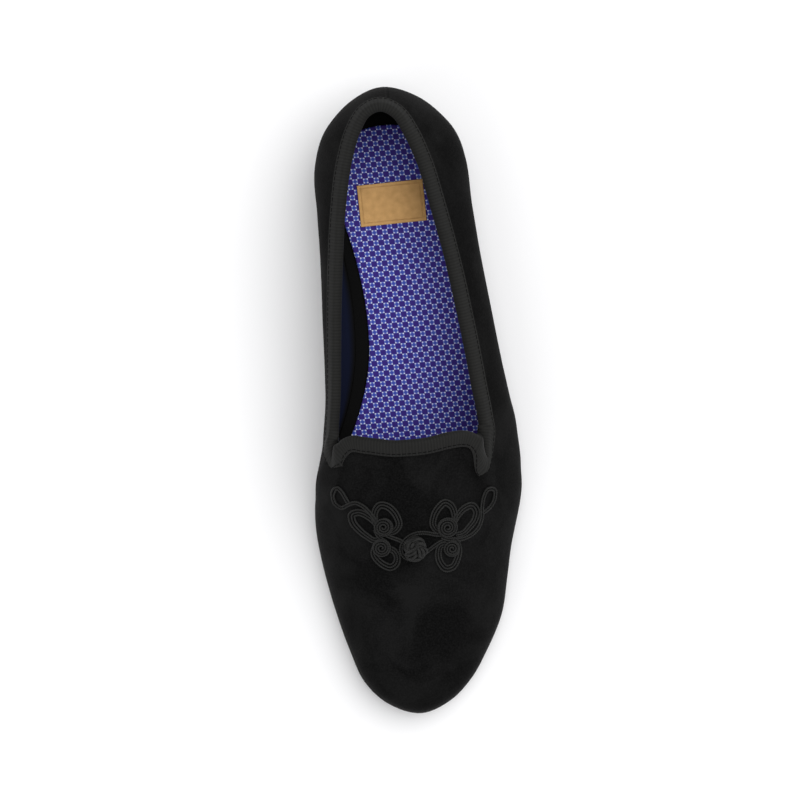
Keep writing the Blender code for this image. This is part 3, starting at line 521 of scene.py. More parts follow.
def ribbonFrame():
    # the topline, the directions down and out of it, how far the fold reaches out at corners, and the gap to
    # the skin, which opens at the notches
    grid, normals = upperSkin(shoe["steps"], (1.0,))
    edge, out = grid[:, 0], normals[:, 0]
    down = unit(eased(unit(np.cross(out, runOf(edge))), ribbon["easing"]))
    square = unit(np.cross(out, np.roll(edge, -1, axis=0) - edge))
    facing = np.minimum((down * square).sum(axis=1), (down * np.roll(square, 1, axis=0)).sum(axis=1))
    reach = 1.0 / np.clip(facing, ribbon["leastFacing"], 1.0)[:, None]
    loose = (sectionColumns(shoe["steps"])[4] < 1.0).astype(float)
    for _ in range(ribbon["loosening"]):
        loose = np.maximum(loose, 0.5 * (np.roll(loose, 1) + np.roll(loose, -1)))
    return edge, out, down, reach, ribbon["gap"] + ribbon["slack"] * loose[:, None]


def legRing(surface, edge, down, depth, lift):
    # a ring of the leg on the skin: its lower edge is eased at the notches and hangs longer at the outer one
    notch = edge[np.argmin(np.where(edge[:, 0] > 0.0, edge[:, 1], 1.0))]
    near = np.exp(-((edge - notch) ** 2).sum(axis=1) / ribbon["tailHalf"] ** 2)[:, None]
    straight = edge + down * depth + near * np.array(ribbon["tail"]) * depth / ribbon["leg"]
    share = min(depth / ribbon["leg"], 1.0)**2
    spots = straight + (eased(straight, ribbon["rounding"]) - straight) * share
    ring = []
    for spot, high in zip(spots, lift[:, 0], strict=True):
        hit, normal = nearestOn(surface, Vector(spot))
        ring.append(tuple(hit + normal * high))
    return np.array(ring)


def makeRibbon(surface, cloth):
    # one folded profile led round the topline; its UV is the ribbon laid flat
    edge, out, down, reach, near = ribbonFrame()
    far = near + ribbon["thick"]
    wall = shoe["wall"]
    legs = np.linspace(1.0, 0.2, 5) * ribbon["leg"]
    rings = []

    def leg(depth, lift):
        rings.append(legRing(surface, edge, down, depth, lift))

    def bend(depth, lift):
        rings.append(edge + down * reach * depth + out * lift)

    leg(legs[0], near)
    leg(legs[0] + ribbon["roundEdge"], 0.5 * (near + far))
    for depth in legs:
        leg(depth, far)
    middle = 0.5 * wall
    for turn in np.linspace(0.0, math.pi, 7):
        bend(-far * math.sin(turn), (middle + far) * math.cos(turn) - middle)
    for depth in legs[::-1]:
        leg(depth, -wall - shoe["gap"] - far)
    leg(legs[0], -wall - shoe["gap"] - near)
    bend(-near, -wall - near)
    bend(-near, near)
    count = len(edge)
    steps = np.linalg.norm(np.roll(edge, -1, axis=0) - edge, axis=1)
    run = np.concatenate([[0.0], np.cumsum(steps)])
    widths = [float(np.median(np.linalg.norm(b - a, axis=1))) for a, b in zip(rings, rings[1:])]
    deep = np.cumsum([0.0] + widths)
    faces, uvs = [], []
    for k in range(len(rings)):
        after = (k + 1) % len(rings)
        faces += ringFaces(k * count, after * count, count)
        low, high = deep[k], deep[after] if after else deep[k] + ribbon["thick"]
        uvs += [[(run[i], low), (run[i + 1], low), (run[i + 1], high), (run[i], high)] for i in range(count)]
    obj = addMesh("grosgrain_ribbon", np.concatenate(rings), faces, [cloth], uvs)
    settle(keepCreases(obj, 60), "topline_binding")
    seam = legRing(surface, edge, down, stitching["depth"], far + stitching["lift"])
    return obj, seam, (0.5 * (deep[-1] + ribbon["leg"]) - ribbon["thick"], run[-1])


def guideLines(name, lines, closed):
    guide = bpy.data.curves.new(name + "_path", "CURVE")
    guide.dimensions = "3D"
    for line in lines:
        spline = guide.splines.new("POLY")
        spline.points.add(len(line) - 1)
        spline.points.foreach_set("co", np.column_stack([line, np.ones(len(line))]).ravel())
        spline.use_cyclic_u = closed
    return addObject(name + "_guide", guide)


def startNodes(name, sockets):
    # a Geometry Nodes tree and its inputs
    tree = bpy.data.node_groups.new(name, "GeometryNodeTree")
    for label, kind in {"Geometry": "Geometry", **sockets}.items():
        tree.interface.new_socket(label, in_out="INPUT", socket_type="NodeSocket" + kind)
    tree.interface.new_socket("Geometry", in_out="OUTPUT", socket_type="NodeSocketGeometry")
    return tree, addNode(tree, "NodeGroupInput").outputs


def endNodes(tree, geometry, material):
    real = addNode(tree, "GeometryNodeRealizeInstances", None, {"Geometry": geometry}).outputs[0]
    dressed = addNode(tree, "GeometryNodeSetMaterial", None, {"Geometry": real, "Material": material})
    addNode(tree, "NodeGroupOutput", None, {"Geometry": dressed.outputs[0]})


def bakeNodes(obj, name, tree, values):
    # runs a node tree on an object and keeps the result as a plain mesh
    modifier = obj.modifiers.new(tree.name, "NODES")
    modifier.node_group = tree
    for item in tree.interface.items_tree:
        if item.in_out == "INPUT" and item.name in values:
            modifier[item.identifier] = values[item.name]
    graph = bpy.context.evaluated_depsgraph_get()
    mesh = bpy.data.meshes.new_from_object(obj.evaluated_get(graph))
    bpy.data.objects.remove(obj, do_unlink=True)
    mesh.name = name
    mesh.shade_smooth()
    return addObject(name, mesh)


# Waxed cotton thread, dyed black: dull, a shade darker than the ribbon.
def makeThread():
    return startMaterial("waxed black thread", 0.9, 0.1, {"Base Color": linear(stitching["colour"])})[0]


def runStitches(name, line, made):
    # a dashed line of thread along a closed path
    tree, given = startNodes("stitchRow", {
        "Pitch": "Float", "Length": "Float", "Thickness": "Float", "Thread": "Material"})
    spots = addNode(tree, "GeometryNodeCurveToPoints", {"mode": "LENGTH"},
                    {"Curve": given["Geometry"], "Length": given["Pitch"]}).outputs
    stitch = addNode(tree, "GeometryNodeMeshCylinder", {"Vertices": 6, "Side Segments": 3},
                     {"Radius": given["Thickness"], "Depth": given["Length"]}).outputs["Mesh"]
    placed = addNode(tree, "GeometryNodeInstanceOnPoints", None, {
        "Points": spots["Points"], "Instance": stitch, "Rotation": spots["Rotation"]}).outputs["Instances"]
    endNodes(tree, placed, given["Thread"])
    return bakeNodes(guideLines(name, [line], True), name, tree, {
        "Pitch": stitching["pitch"], "Length": stitching["length"], "Thickness": stitching["thick"],
        "Thread": made})


# Vegetable-tanned sole leather, dyed black and edge-waxed: tight grain, soft gloss.
soleLook = {"colour": "#0a0908", "worn": "#171311", "grain": 0.0009, "wear": 90.0}


def makeSoleLeather():
    made, tree, shader = startMaterial("black dyed sole leather", 0.48, 0.25, {
        "Coat Weight": 0.06, "Coat Roughness": 0.35})
    where = objectPlace(tree)
    grain = addNode(tree, "ShaderNodeTexVoronoi", {"Scale": 1 / soleLook["grain"]}, {"Vector": where})
    wear = ramp(tree, noise(tree, where, soleLook["wear"], 5.0), 0.5, 0.75)
    colourBy(tree, shader, wear, soleLook["colour"], soleLook["worn"])
    relief(tree, shader, grain.outputs["Distance"], 0.25, 0.0002)
    return made


# Moulded rubber heel lift: matte, fine stipple, slightly grey.
def makeRubber():
    made, tree, shader = startMaterial("black moulded rubber", 0.7, 0.25, {"Base Color": linear("#101010")})
    relief(tree, shader, noise(tree, objectPlace(tree), 1400.0, 2.0), 0.4, 0.0002)
    return made


# Footbed cover: thin black cotton cloth glued on the board.
def makeFootbedCloth():
    made, tree, shader = startMaterial("black cotton footbed cloth", 0.9, 0.15, {
        "Base Color": linear("#080808")})
    relief(tree, shader, noise(tree, objectPlace(tree), 1800.0, 1.0), 0.4, 0.0002)
    return made


sole = {"margin": 0.0008, "heelBreast": 0.242, "heelTaper": 0.965, "liftThick": 0.003, "lifts": 3,
        "groove": 0.992, "chamfer": 0.00025}
# Profile of the sole's edge: share of the margin it draws in, share of the thickness.
soleEdge = ((0.8, 0.0), (0.2, 0.05), (0.0, 0.18), (0.0, 0.8), (0.15, 0.93), (0.5, 1.0))


def soleRing(margin):
    foot = sectionColumns(shoe["steps"])[0]
    return foot + outward(foot) * margin


def makeOutsole(leather):
    rings = []
    for inset, rise in soleEdge:
        ring = soleRing(sole["margin"] * (1.0 - inset))
        rings.append(atHeight(ring, soleBottom(alongOf(ring)) + rise * shoe["soleThick"]))
    return settle(plate("leather_outsole", rings, leather), "outsole")


def heelRing(scale):
    # outline of the heel seat, closed by the straight line of the breast
    edge = soleRing(0.0)
    breast = sole["heelBreast"] * shoe["length"]
    line = shoe["heelCentre"] - breast
    along = alongOf(edge)
    half = len(edge) // 2
    outer = [p for p, a in zip(edge[:half], along[:half], strict=True) if a < breast]
    inner = [p for p, a in zip(edge[half:], along[half:], strict=True) if a < breast]
    first = np.interp(breast, along[:half], edge[:half, 0])
    last = np.interp(breast, along[half:][::-1], edge[half:][::-1, 0])
    front = np.linspace((first, line, 0.0), (last, line, 0.0), 9)
    ring = np.array(outer + list(front) + inner)
    breastLine = np.array([0.0, line, 0.0])
    return breastLine + (ring - breastLine) * (scale, scale, 1.0)


def stackedBlock(name, rows, made):
    # solid through flat rings of the heel's outline: height, scale
    rings = [atHeight(heelRing(scale), height) for height, scale in rows]
    count = len(rings[0])
    faces = [tuple(reversed(range(count))), tuple(range((len(rings) - 1) * count, len(rings) * count))]
    faces += tubeFaces(len(rings), count)
    return keepCreases(addMesh(name, np.concatenate(rings), faces, [made]), 35)


def makeHeel(leather, rubber):
    taper, groove, lift = sole["heelTaper"], sole["groove"], sole["liftThick"]
    rows = ((0.0, taper * 0.985), (0.0004, taper), (lift - 0.0003, taper), (lift, taper * groove))
    settle(stackedBlock("rubber_top_lift", rows, rubber), "top_lift")
    rows = []
    bottom, top = lift + shoe["gap"], shoe["heelHeight"] - shoe["gap"]
    for i in range(sole["lifts"]):
        low = bottom + (top - bottom) * i / sole["lifts"]
        up = bottom + (top - bottom) * (i + 1) / sole["lifts"]
        for height in (low, low + sole["chamfer"], up - sole["chamfer"], up):
            scale = taper + (1.0 - taper) * (height - bottom) / (top - bottom)
            rows.append((height, scale * (groove if height in (low, up) else 1.0)))
    settle(stackedBlock("stacked_leather_heel", rows, leather), "heel_stack")


insole = {"rounding": 0.0008}


def insoleRing(rise, inset):
    # the inside of the upper at a height over the sole, drawn in a little
    inner = innerSkin(*upperSkin(shoe["steps"], np.linspace(0.0, 0.4, 25)))
    found = np.zeros((len(inner), 3))
    for i, column in enumerate(inner):
        height = np.maximum.accumulate(column[:, 2] - column[0, 2])
        for axis in range(2):
            found[i, axis] = np.interp(rise, height, column[:, axis])
    found -= outward(found) * inset
    found[:, 2] = soleTop(alongOf(found)) + shoe["gap"] + rise
    return found


def makeInsole(cloth):
    thick, gap, rounding = shoe["insoleThick"], shoe["gap"], insole["rounding"]
    rings = [insoleRing(0.0, gap), insoleRing(0.5 * thick, gap)]
    for turn in np.linspace(0.0, math.pi / 2, 4):
        inset = gap + rounding * (1.0 - math.cos(turn))
        rings.append(insoleRing(thick - rounding * (1.0 - math.sin(turn)), inset))
    return settle(plate("cloth_covered_insole", rings, cloth), "insole")


# Foulard sock: printed cotton twill, small checks of dark violet and mid blue with pale dots at the corners.
sockLook = {"cellX": 0.00217, "cellY": 0.00213, "turn": -1.5, "skew": 0.08, "violet": "#331e80",
            "blue": "#364bb0", "ring": "#7484d6", "dot": "#f4f5ff", "twill": 0.0003, "dotSpot": 0.34,
            "ringRadius": 0.38}
sock = {"flat": (0.0765, 0.231), "area": 0.01235, "start": 0.059, "bow": 14.0, "end": 0.955,
        "outerInset": 0.012, "roundEdge": 0.0004}
# Inset of the sock's inner side: share of the length, share of the ball's width.
sockInset = ((0.0, 0.012), (0.15, 0.02), (0.3, 0.05), (0.42, 0.06), (0.55, 0.045), (0.7, 0.015), (1.0, 0.012))


def makeFoulard():
    made, tree, shader = startMaterial("printed cotton twill", 0.7, 0.25, {"Sheen Weight": 0.15})
    where = objectPlace(tree)
    cells = addNode(tree, "ShaderNodeMapping", {
        "Rotation": (0.0, 0.0, math.radians(sockLook["turn"])),
        "Scale": (1 / sockLook["cellX"], 1 / sockLook["cellY"], 0.0)}, {"Vector": where}).outputs[0]
    axes = addNode(tree, "ShaderNodeSeparateXYZ", None, {"Vector": cells}).outputs

    def work(operation, *given):
        return maths(tree, operation, *given)

    along = axes["Y"]
    across = work("MULTIPLY_ADD", along, sockLook["skew"], axes["X"])  # the weft lies a little askew
    parity = work("FLOORED_MODULO", work("ADD", work("FLOOR", across), work("FLOOR", along)), 2.0)
    inX, inY = (work("ABSOLUTE", work("SUBTRACT", work("FRACT", axis), 0.5)) for axis in (across, along))
    radius = work("SQRT", work("ADD", work("MULTIPLY", inX, inX), work("MULTIPLY", inY, inY)))
    fromX, fromY = (work("POWER", work("SUBTRACT", axis, sockLook["dotSpot"]), 2.0) for axis in (inX, inY))
    dots = ramp(tree, work("SQRT", work("ADD", fromX, fromY)), 0.16, 0.07)
    ring = ramp(tree, work("ABSOLUTE", work("SUBTRACT", radius, sockLook["ringRadius"])), 0.13, 0.03)
    heart = ramp(tree, work("ADD", inX, inY), 0.26, 0.34)
    blue = blend(tree, work("MULTIPLY", ring, heart), sockLook["blue"], sockLook["ring"])
    light = blend(tree, dots, blue, sockLook["dot"])
    colourBy(tree, shader, parity, light, sockLook["violet"])
    relief(tree, shader, bands(tree, where, sockLook["twill"], {"bands_direction": "DIAGONAL"}), 0.2, 0.0001)
    return made


def sockRing(lift, inset=0.0):
    edge = insoleRing(shoe["insoleThick"], 1.6 * shoe["gap"] + insole["rounding"])
    table = np.array(sockInset)
    share = np.clip(alongOf(edge) / shoe["length"], 0.0, 1.0)
    found = smoothCurve(table[:, 0], table[:, 1:], share)[:, 0]
    innerSide = np.arange(len(edge)) > len(edge) // 2
    found = np.where(innerSide, found, sock["outerInset"]) * shoe["ballWidth"]
    ring = edge - outward(edge) * (found + inset)[:, None]
    middle = place(0.0, label["across"] * shoe["ballWidth"], 0.0)[0]
    rear = shoe["heelCentre"] - sock["start"] * shoe["length"] - sock["bow"] * (ring[:, 0] - middle)**2
    ring[:, 1] = np.minimum(ring[:, 1], rear - inset)
    ring[:, 1] = np.maximum(ring[:, 1], shoe["heelCentre"] - sock["end"] * shoe["length"] + inset)
    ring[:, 2] = soleTop(alongOf(ring)) + shoe["gap"] + shoe["insoleThick"] + lift
    return ring


def makeSock(printed):
    gap, thick = shoe["gap"], shoe["sockThick"]
    rings = [sockRing(gap), sockRing(gap + 0.7 * thick), sockRing(gap + thick, sock["roundEdge"])]
    obj = settle(plate("printed_sock", rings, printed), "sock")


# Foil-blocked gold label: thin brass-toned leaf on cloth, soft sheen, a little uneven. Left bare inside a
# fine border.
goldLook = {"leaf": "#ca9e62", "dull": "#9e7742", "cloud": 420.0, "grain": 2200.0}
label = {"length": 0.027, "width": 0.017, "thick": 0.0004, "along": 0.184, "across": 0.015, "turn": 2.8,
         "border": 0.0012, "line": 0.0003, "slope": 0.00008, "roundEdge": 0.00015}


def makeGold():
    made, tree, shader = startMaterial("gold foil leaf", 0.5, more={"Metallic": 0.45})
    where = objectPlace(tree)
    colourBy(tree, shader, noise(tree, where, goldLook["cloud"], 6.0), goldLook["leaf"], goldLook["dull"])
    relief(tree, shader, noise(tree, where, goldLook["grain"], 2.0), 0.3, 0.0001)
    return made


def makeLabel(gold):
    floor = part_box("sock_label")[0][2]
    middle = place(np.array([label["along"] * shoe["length"]]), label["across"] * shoe["ballWidth"], 0.0)[0]
    turn = math.radians(label["turn"])
    line = label["border"] + label["line"]
    steps = ((0.0, 0.0), (0.0, 0.8), (label["roundEdge"], 1.0), (label["border"], 1.0),
             (label["border"] + label["slope"], 0.6), (line, 0.6), (line + label["slope"], 1.0))
    points = []
    for inset, rise in steps:
        for sideX, sideY in ((-1, -1), (1, -1), (1, 1), (-1, 1)):
            x, y = sideX * (0.5 * label["length"] - inset), sideY * (0.5 * label["width"] - inset)
            points.append((middle[0] + x * math.cos(turn) - y * math.sin(turn),
                           middle[1] + x * math.sin(turn) + y * math.cos(turn),
                           floor + rise * label["thick"]))
    faces = [(3, 2, 1, 0), tuple(range(len(points) - 4, len(points)))] + tubeFaces(len(steps), 4)
    obj = addMesh("gold_label", points, faces, [gold])
    return settle(keepCreases(obj, 20), "sock_label")


# Twisted cord: three plies of mercerised cotton laid up round each other, so the light runs in slanting
# glints along it.
cordLook = {"colour": "#232322", "deep": "#0b0b0b", "fibre": 0.0003}
cord = {"thick": 0.00088, "lay": 0.0026, "plies": 3, "step": 0.00026, "sides": 15, "lobe": 0.16,
        "waist": 0.86}
ornament = {"along": 0.732, "across": 0.016, "scale": 0.985, "bandStrands": 3, "cordStrands": 2,
            "cordLift": 0.35, "points": 80, "sink": 12, "opening": 0.28, "spacing": 1.06,
            "coilPitch": 0.00102, "coilRise": 0.00075, "coilDome": 0.0003, "coilHold": 0.8, "coilPoints": 40}

# Routes on the flat in millimetres from the middle of the knot: to the outer side, then towards the heel. A
# band is three strands side by side and a cord is two; a coil is its middle, its radius and where it starts.
knotSide = {
    "bands": (
        ((-13.6, 10.0), (-15.4, 12.4), (-18.2, 14.9), (-21.4, 16.3), (-24.0, 15.4), (-23.8, 12.5),
         (-21.6, 9.2), (-18.6, 6.4), (-15.2, 4.4), (-13.2, 5.0)),
        ((-13.2, 8.6), (-14.9, 12.6), (-14.7, 16.4), (-12.6, 18.9), (-10.0, 18.4), (-7.5, 16.2), (-5.9, 13.2),
         (-5.4, 10.6), (-7.2, 8.0), (-10.6, 7.4)),
        ((-13.4, 3.2), (-15.5, 1.2), (-15.9, -1.4), (-14.4, -3.9), (-12.0, -6.0), (-9.6, -6.9), (-7.6, -5.8),
         (-6.7, -3.2), (-7.8, -0.4), (-10.8, 1.4)),
    ),
    "cords": (
        ((-12.8, 9.0), (-15.0, 13.5), (-17.1, 16.5), (-19.8, 19.2), (-22.6, 20.4), (-25.3, 19.5),
         (-27.6, 18.4), (-30.1, 20.1), (-31.1, 22.7), (-30.8, 25.6), (-29.6, 26.9), (-28.0, 25.7),
         (-25.9, 21.8), (-24.9, 19.6)),
        ((-11.8, 7.6), (-10.0, 6.2), (-7.8, 5.2), (-6.0, 4.4), (-4.6, 3.6), (-3.4, 2.6)),
        ((-15.2, 9.0), (-13.2, 5.6), (-10.8, 3.6), (-9.6, 1.0)),
    ),
    "coils": ((-11.4, 10.0, 3.9, 0.4), (-12.6, 1.5, 3.8, 2.6)),
}
loopSide = {
    "bands": (
        ((13.2, 8.2), (10.0, 7.0), (8.2, 9.4), (8.7, 13.0), (10.9, 16.6), (13.4, 18.4), (15.8, 17.1),
         (17.0, 14.3), (16.9, 11.0), (15.4, 8.4)),
        ((16.4, 9.4), (18.6, 12.9), (21.6, 15.6), (24.6, 16.3), (26.3, 14.0), (25.6, 10.6), (23.2, 7.6),
         (20.4, 5.2), (17.4, 4.6)),
        ((14.0, 0.8), (11.0, 0.8), (9.8, -2.4), (10.6, -6.5), (12.8, -8.9), (15.5, -8.3), (17.4, -5.4),
         (18.4, -1.8), (17.8, 1.6)),
    ),
    "cords": (
        ((14.6, 4.0), (12.0, 5.2), (9.4, 5.5), (5.4, 6.5), (1.5, 6.6), (-1.8, 5.4), (-4.2, 2.9), (-5.0, 0.6),
         (-4.5, -1.8), (-2.6, -3.6), (0.6, -3.9), (3.6, -2.2), (7.2, 0.2), (10.6, 2.2), (13.0, 3.0)),
        ((15.8, 2.6), (20.4, 3.0), (24.1, 4.6), (26.8, 7.2), (28.3, 10.8), (28.6, 15.4), (29.7, 19.9),
         (32.1, 22.9), (34.0, 22.2), (34.3, 19.3), (33.0, 16.2), (30.8, 13.9), (28.6, 12.6)),
        ((11.4, 4.4), (14.0, 3.2), (17.0, 3.0), (18.4, 0.6)),
    ),
    "coils": ((13.8, 8.3, 4.2, 0.9), (15.2, -0.6, 3.4, 3.4)),
}


def makeCordCotton():
    made, tree, shader = startMaterial("mercerised black cotton cord", 0.6, 0.2, {
        "Sheen Weight": 0.03, "Sheen Roughness": 0.4})
    fibres = noise(tree, objectPlace(tree), 1 / cordLook["fibre"], 3.0)
    colourBy(tree, shader, ramp(tree, fibres, 0.3, 0.62), cordLook["deep"], cordLook["colour"])
    relief(tree, shader, fibres, 0.5, 0.00012)
    return made


def flatRoute(points, count):
    path = np.array(points, float) * ornament["scale"] * 0.001
    knots = np.concatenate([[0.0], np.cumsum(np.linalg.norm(np.diff(path, axis=0), axis=1))])
    return smoothCurve(knots, path, np.linspace(0.0, knots[-1], count))


def sideOf(line):
    ahead = unit(np.gradient(line, axis=0))
    return np.stack([-ahead[:, 1], ahead[:, 0]], axis=-1)


def onVamp(line, heights, surface):
    laid = []
    for (x, y), height in zip(line, heights, strict=True):
        start = Vector(place(ornament["along"] * shoe["length"] - y,
                             ornament["across"] * shoe["ballWidth"] + x, 2 * shoe["instepHeight"]))
        hit, _, index, _ = surface[0].ray_cast(start, Vector((0.0, 0.0, -1.0)))
        laid.append(tuple(hit + normalAt(surface, index) * height))
    return np.array(laid)


def coilRoute(x, y, radius, start):
    # a spiral that keeps its widest reach for the last part of a turn, and how high its turns stand
    widest = radius * 0.001 - 0.5 * cord["thick"]
    turns = widest / ornament["coilPitch"] + ornament["coilHold"]
    angles = np.linspace(0.1, 1.0, int(ornament["coilPoints"] * turns)) * turns * 2 * math.pi
    reach = np.minimum(angles / (2 * math.pi) * ornament["coilPitch"], widest)
    middle = np.array((x, y)) * ornament["scale"] * 0.001
    line = middle + np.column_stack([np.cos(angles + start), np.sin(angles + start)]) * reach[:, None]
    return line, ornament["coilRise"] + ornament["coilDome"] * (1.0 - (reach / reach[-1]) ** 2)


def ornamentRoutes(side, surface):
    # centre lines of every cord of one side of the ornament, laid on the vamp
    thick, count = cord["thick"], ornament["points"]
    low = 0.5 * thick
    fromEnd = np.minimum(np.arange(count), np.arange(count)[::-1])
    ends = np.clip(fromEnd / ornament["sink"], 0.0, 1.0)
    tips = np.sin(np.linspace(0.0, np.pi, count))**2
    routes = []
    for kind, strands, lift, opening in (("bands", ornament["bandStrands"], 0.0, ornament["opening"]),
                                         ("cords", ornament["cordStrands"], ornament["cordLift"], 0.0)):
        apart = ornament["spacing"] + opening * tips  # the loops open towards their tips
        for points in side[kind]:
            line = flatRoute(points, count)
            for shift in np.arange(strands) - 0.5 * (strands - 1):
                moved = line + sideOf(line) * (shift * apart * thick)[:, None]
                routes.append(onVamp(moved, low + lift * thick * ends, surface))
    for coil in side["coils"]:
        line, heights = coilRoute(*coil)
        routes.append(onVamp(line, low + heights, surface))
    return routes


def ropeTree():
    # twisted rope along curves: a lobed profile turned steadily as it runs
    tree, given = startNodes("twistedRope", {
        "Thickness": "Float", "Lay": "Float", "Plies": "Int", "Step": "Float", "Cotton": "Material"})
    even = addNode(tree, "GeometryNodeResampleCurve", {"mode": "LENGTH"},
                   {"Curve": given["Geometry"], "Length": given["Step"]}).outputs["Curve"]
    run = addNode(tree, "GeometryNodeSplineParameter").outputs["Length"]
    angle = maths(tree, "MULTIPLY", maths(tree, "DIVIDE", run, given["Lay"]), 2 * math.pi)
    tilted = addNode(tree, "GeometryNodeSetCurveTilt", None, {"Curve": even, "Tilt": angle}).outputs["Curve"]
    radius = maths(tree, "MULTIPLY", given["Thickness"], 0.5)
    circle = addNode(tree, "GeometryNodeCurvePrimitiveCircle", {"Resolution": cord["sides"]},
                     {"Radius": radius}).outputs["Curve"]
    index = addNode(tree, "GeometryNodeInputIndex").outputs[0]
    step = maths(tree, "MULTIPLY", index, 2 * math.pi / cord["sides"])
    wave = maths(tree, "COSINE", maths(tree, "MULTIPLY", step, given["Plies"]))
    size = maths(tree, "MULTIPLY_ADD", wave, cord["lobe"], cord["waist"])
    here = addNode(tree, "GeometryNodeInputPosition").outputs[0]
    pulled = addNode(tree, "ShaderNodeVectorMath", {"operation": "SCALE"}, {0: here, "Scale": size})
    profile = addNode(tree, "GeometryNodeSetPosition", None,
                      {"Geometry": circle, "Position": pulled.outputs[0]}).outputs[0]
    swept = addNode(tree, "GeometryNodeCurveToMesh", {"Fill Caps": True},
                    {"Curve": tilted, "Profile Curve": profile}).outputs["Mesh"]
    endNodes(tree, swept, given["Cotton"])
    return tree


def ropes(name, routes, tree, thick, lay, cotton, closed=False):
    return bakeNodes(guideLines(name, routes, closed), name, tree, {
        "Thickness": thick, "Lay": lay, "Plies": cord["plies"], "Step": cord["step"], "Cotton": cotton})


# Woven ball knot: a doubled cord led round a little ball, and over it the flat plaits that show on top, each
# a few cords side by side that rise over their neighbours and dive under them.
ballKnot = {"spot": (0.0, 0.0011), "across": 0.0049, "along": 0.0053, "high": 0.0036, "rise": 0.0036,
            "leads": 3, "bights": 5, "swing": 0.95, "start": 0.3, "points": 420, "thick": 0.0011,
            "weave": 0.0002, "spread": 0.15, "lay": 0.02, "core": 0.93, "plaitThick": 0.0014,
            "plaitLift": 0.0008, "plaitPoints": 24}
# Cords on the ball seen from above, as shares of its half width and half length.
plaits = (
    ((-0.80, -0.08), (-0.34, 0.17), (0.08, 0.37)),
    ((-0.86, -0.36), (-0.39, -0.15), (0.08, 0.06)),
    ((-0.68, -0.64), (-0.27, -0.45), (0.06, -0.26)),
    ((0.12, 0.38), (0.24, -0.11), (0.24, -0.60)),
    ((0.40, 0.34), (0.54, -0.11), (0.50, -0.60)),
    ((0.69, 0.28), (0.84, -0.08), (0.74, -0.48)),
    ((-0.14, 0.54), (0.26, 0.60), (0.64, 0.46), (0.93, 0.14)),
    ((-0.26, 0.80), (0.16, 0.87), (0.56, 0.74), (0.86, 0.42)),
    ((-0.72, 0.12), (-0.56, 0.50), (-0.34, 0.80)),
    ((-0.42, 0.26), (-0.28, 0.52), (-0.10, 0.74)),
    ((-0.44, -0.78), (0.0, -0.62), (0.46, -0.76)),
)


def knotAxes(surface):
    # the knot's middle on the vamp and its directions over, along and up
    x, y = ballKnot["spot"]
    step = 0.004
    spots = onVamp([(x, y), (x, y + step), (x + step, y)], [0.0, 0.0, 0.0], surface)
    middle = Vector(spots[0])
    ahead = (Vector(spots[1]) - middle).normalized()
    up = (Vector(spots[2]) - middle).cross(ahead).normalized()
    return middle, ahead.cross(up), ahead, up


def makeKnot(surface, tree, cotton):
    look = ballKnot
    middle, over, ahead, up = knotAxes(surface)
    size = np.array([look["across"], look["along"], look["high"]]) - 0.5 * look["thick"]

    def onBall(spots, lift):
        # from a ball of radius 1 to the knot's own size and place
        spots = spots * (size + lift)
        return np.array([tuple(middle + over * x + ahead * y + up * (z + look["rise"])) for x, y, z in spots])

    routes = []
    s = np.linspace(0.0, 2 * math.pi, look["points"], endpoint=False)
    for shift in (-1, 1):
        lat = look["swing"] * np.cos(look["bights"] * s) + shift * look["spread"]
        lon = look["leads"] * s + look["start"]
        ball = np.column_stack([np.sin(lat), np.cos(lat) * np.cos(lon), np.cos(lat) * np.sin(lon)])
        routes.append(onBall(ball, (look["weave"] * np.sin(2 * look["bights"] * s))[:, None]))
    woven = ropes("woven_ball_knot", routes, tree, look["thick"], look["lay"], cotton, closed=True)
    routes = []
    s = np.linspace(0.0, 1.0, look["plaitPoints"])
    lift = (look["plaitLift"] * (2.0 * np.sin(np.pi * s)**0.6 - 1.0))[:, None]
    for plait in plaits:
        line = smoothCurve(np.linspace(0.0, 1.0, len(plait)), plait, s)
        high = np.sqrt(np.clip(1.0 - (line**2).sum(axis=1), 0.0, 1.0))
        routes.append(onBall(np.column_stack([line, high]), lift))
    flat = ropes("knot_plaits", routes, tree, look["plaitThick"], look["lay"], cotton)
    core = bmesh.new()
    bmesh.ops.create_icosphere(core, subdivisions=3, radius=1.0)
    points = onBall(np.array([tuple(v.co) for v in core.verts]) * look["core"], 0.0)
    faces = [tuple(v.index for v in face.verts) for face in core.faces]
    core.free()
    heart = addMesh("knot_core", points, faces, [cotton])
    for obj in (woven, flat, heart):
        settle(obj, "frog_knot")


def makeOrnament(surface, cotton):
    tree = ropeTree()
    for name, side, node in (("cord_frog_inner", knotSide, "frog_knot_side"),
                             ("cord_frog_outer", loopSide, "frog_loop_side")):
        made = ropes(name, ornamentRoutes(side, surface), tree, cord["thick"], cord["lay"], cotton)
        settle(made, node)
    makeKnot(surface, tree, cotton)


# Studio: pale sweep, one broad soft light high over the shoe and a weak one from the side.
studio = {"floor": "#fcfcfd", "floorHalf": 3.0, "sky": "#ffffff", "skyStrength": 0.5,
          "lookAt": (0.0, -0.09, 0.0)}
# Lamps: name, watts, width, spot.
lamps = (("key", 28.0, 2.2, (0.55, 0.35, 1.7)), ("fill", 5.0, 1.4, (-0.9, -0.9, 0.9)))
view = {"spot": (-0.0449, -0.0866, 1.4), "aim": (-0.0029, -0.0935, 0.025), "frameWidth": 0.3254,
        "sensor": 36.0, "lean": 3.29}


# Seamless studio paper: matte, nearly white.
def makePaper():
    return startMaterial("white studio paper", 0.95, 0.1, {"Base Color": linear(studio["floor"])})[0]


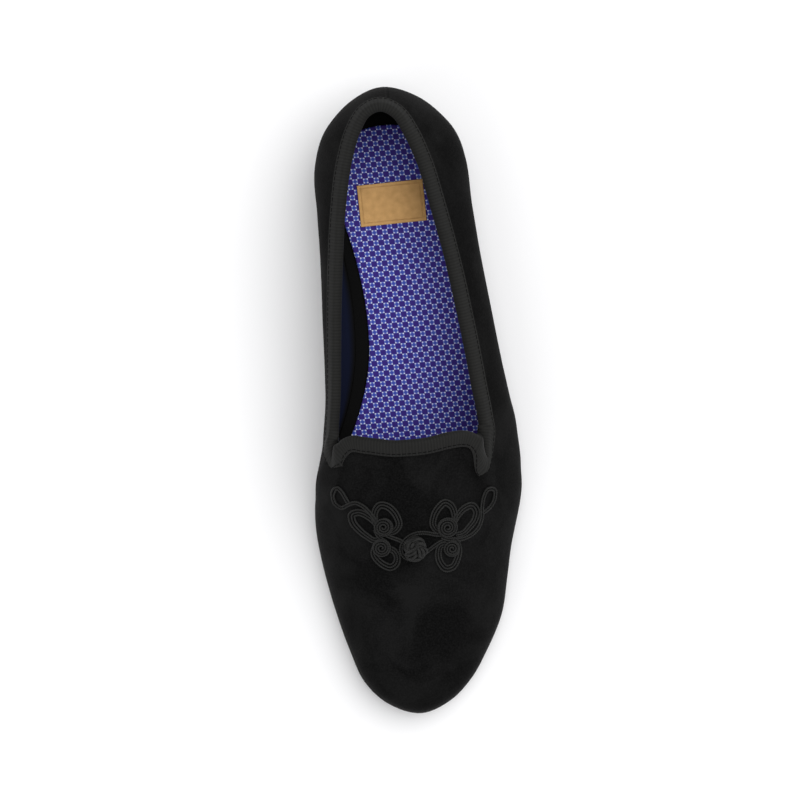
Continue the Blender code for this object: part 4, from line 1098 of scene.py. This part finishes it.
def makeStudio():
    mesh = bpy.data.meshes.new("paper_sweep")
    far = studio["floorHalf"]
    corners = [(-far, -far, 0.0), (far, -far, 0.0), (far, far, 0.0), (-far, far, 0.0)]
    mesh.from_pydata(corners, [], [(0, 1, 2, 3)])
    mesh.materials.append(makePaper())
    addObject("paper_sweep", mesh)
    world = bpy.data.worlds.new("studio")
    world.use_nodes = True
    sky = world.node_tree.nodes["Background"]
    sky.inputs["Color"].default_value = linear(studio["sky"])
    sky.inputs["Strength"].default_value = studio["skyStrength"]
    bpy.context.scene.world = world
    for name, watts, size, spot in lamps:
        lamp = bpy.data.lights.new(name, "AREA")
        lamp.energy = watts
        lamp.shape = "DISK"
        lamp.size = size
        obj = addObject(name, lamp)
        obj.location = spot
        towards = Vector(studio["lookAt"]) - Vector(spot)
        obj.rotation_euler = towards.to_track_quat("-Z", "Y").to_euler()


def makeCamera():
    bpy.context.scene.view_settings.view_transform = "Standard"
    data = bpy.data.cameras.new("camera")
    data.sensor_width = view["sensor"]
    spot, aim = Vector(view["spot"]), Vector(view["aim"])
    data.lens = view["sensor"] * (spot - aim).length / view["frameWidth"]
    camera = addObject("camera", data)
    back = (spot - aim).normalized()
    lean = math.radians(view["lean"])
    up = Vector((math.sin(lean), math.cos(lean), 0.0))
    right = up.cross(back).normalized()
    up = back.cross(right)
    camera.matrix_world = Matrix.Translation(spot) @ Matrix((right, up, back)).transposed().to_4x4()
    bpy.context.scene.camera = camera


makeCamera()
makeStudio()
print("studio ready")

surface = wholeSurface()
makeUpper(makeVelvet(), makeLining())
print("upper made")

ribbonPiece, stitchLine, ribbonFlat = makeRibbon(surface, makeRibbonCloth())
stitchPiece = settle(runStitches("ribbon_stitches", stitchLine, makeThread()), "topline_binding")
print("ribbon made and stitched")

soleLeather = makeSoleLeather()
makeOutsole(soleLeather)
makeHeel(soleLeather, makeRubber())
makeInsole(makeFootbedCloth())
makeSock(makeFoulard())
makeLabel(makeGold())
print("bottom made")

makeOrnament(surface, makeCordCotton())
print("ornament laid")
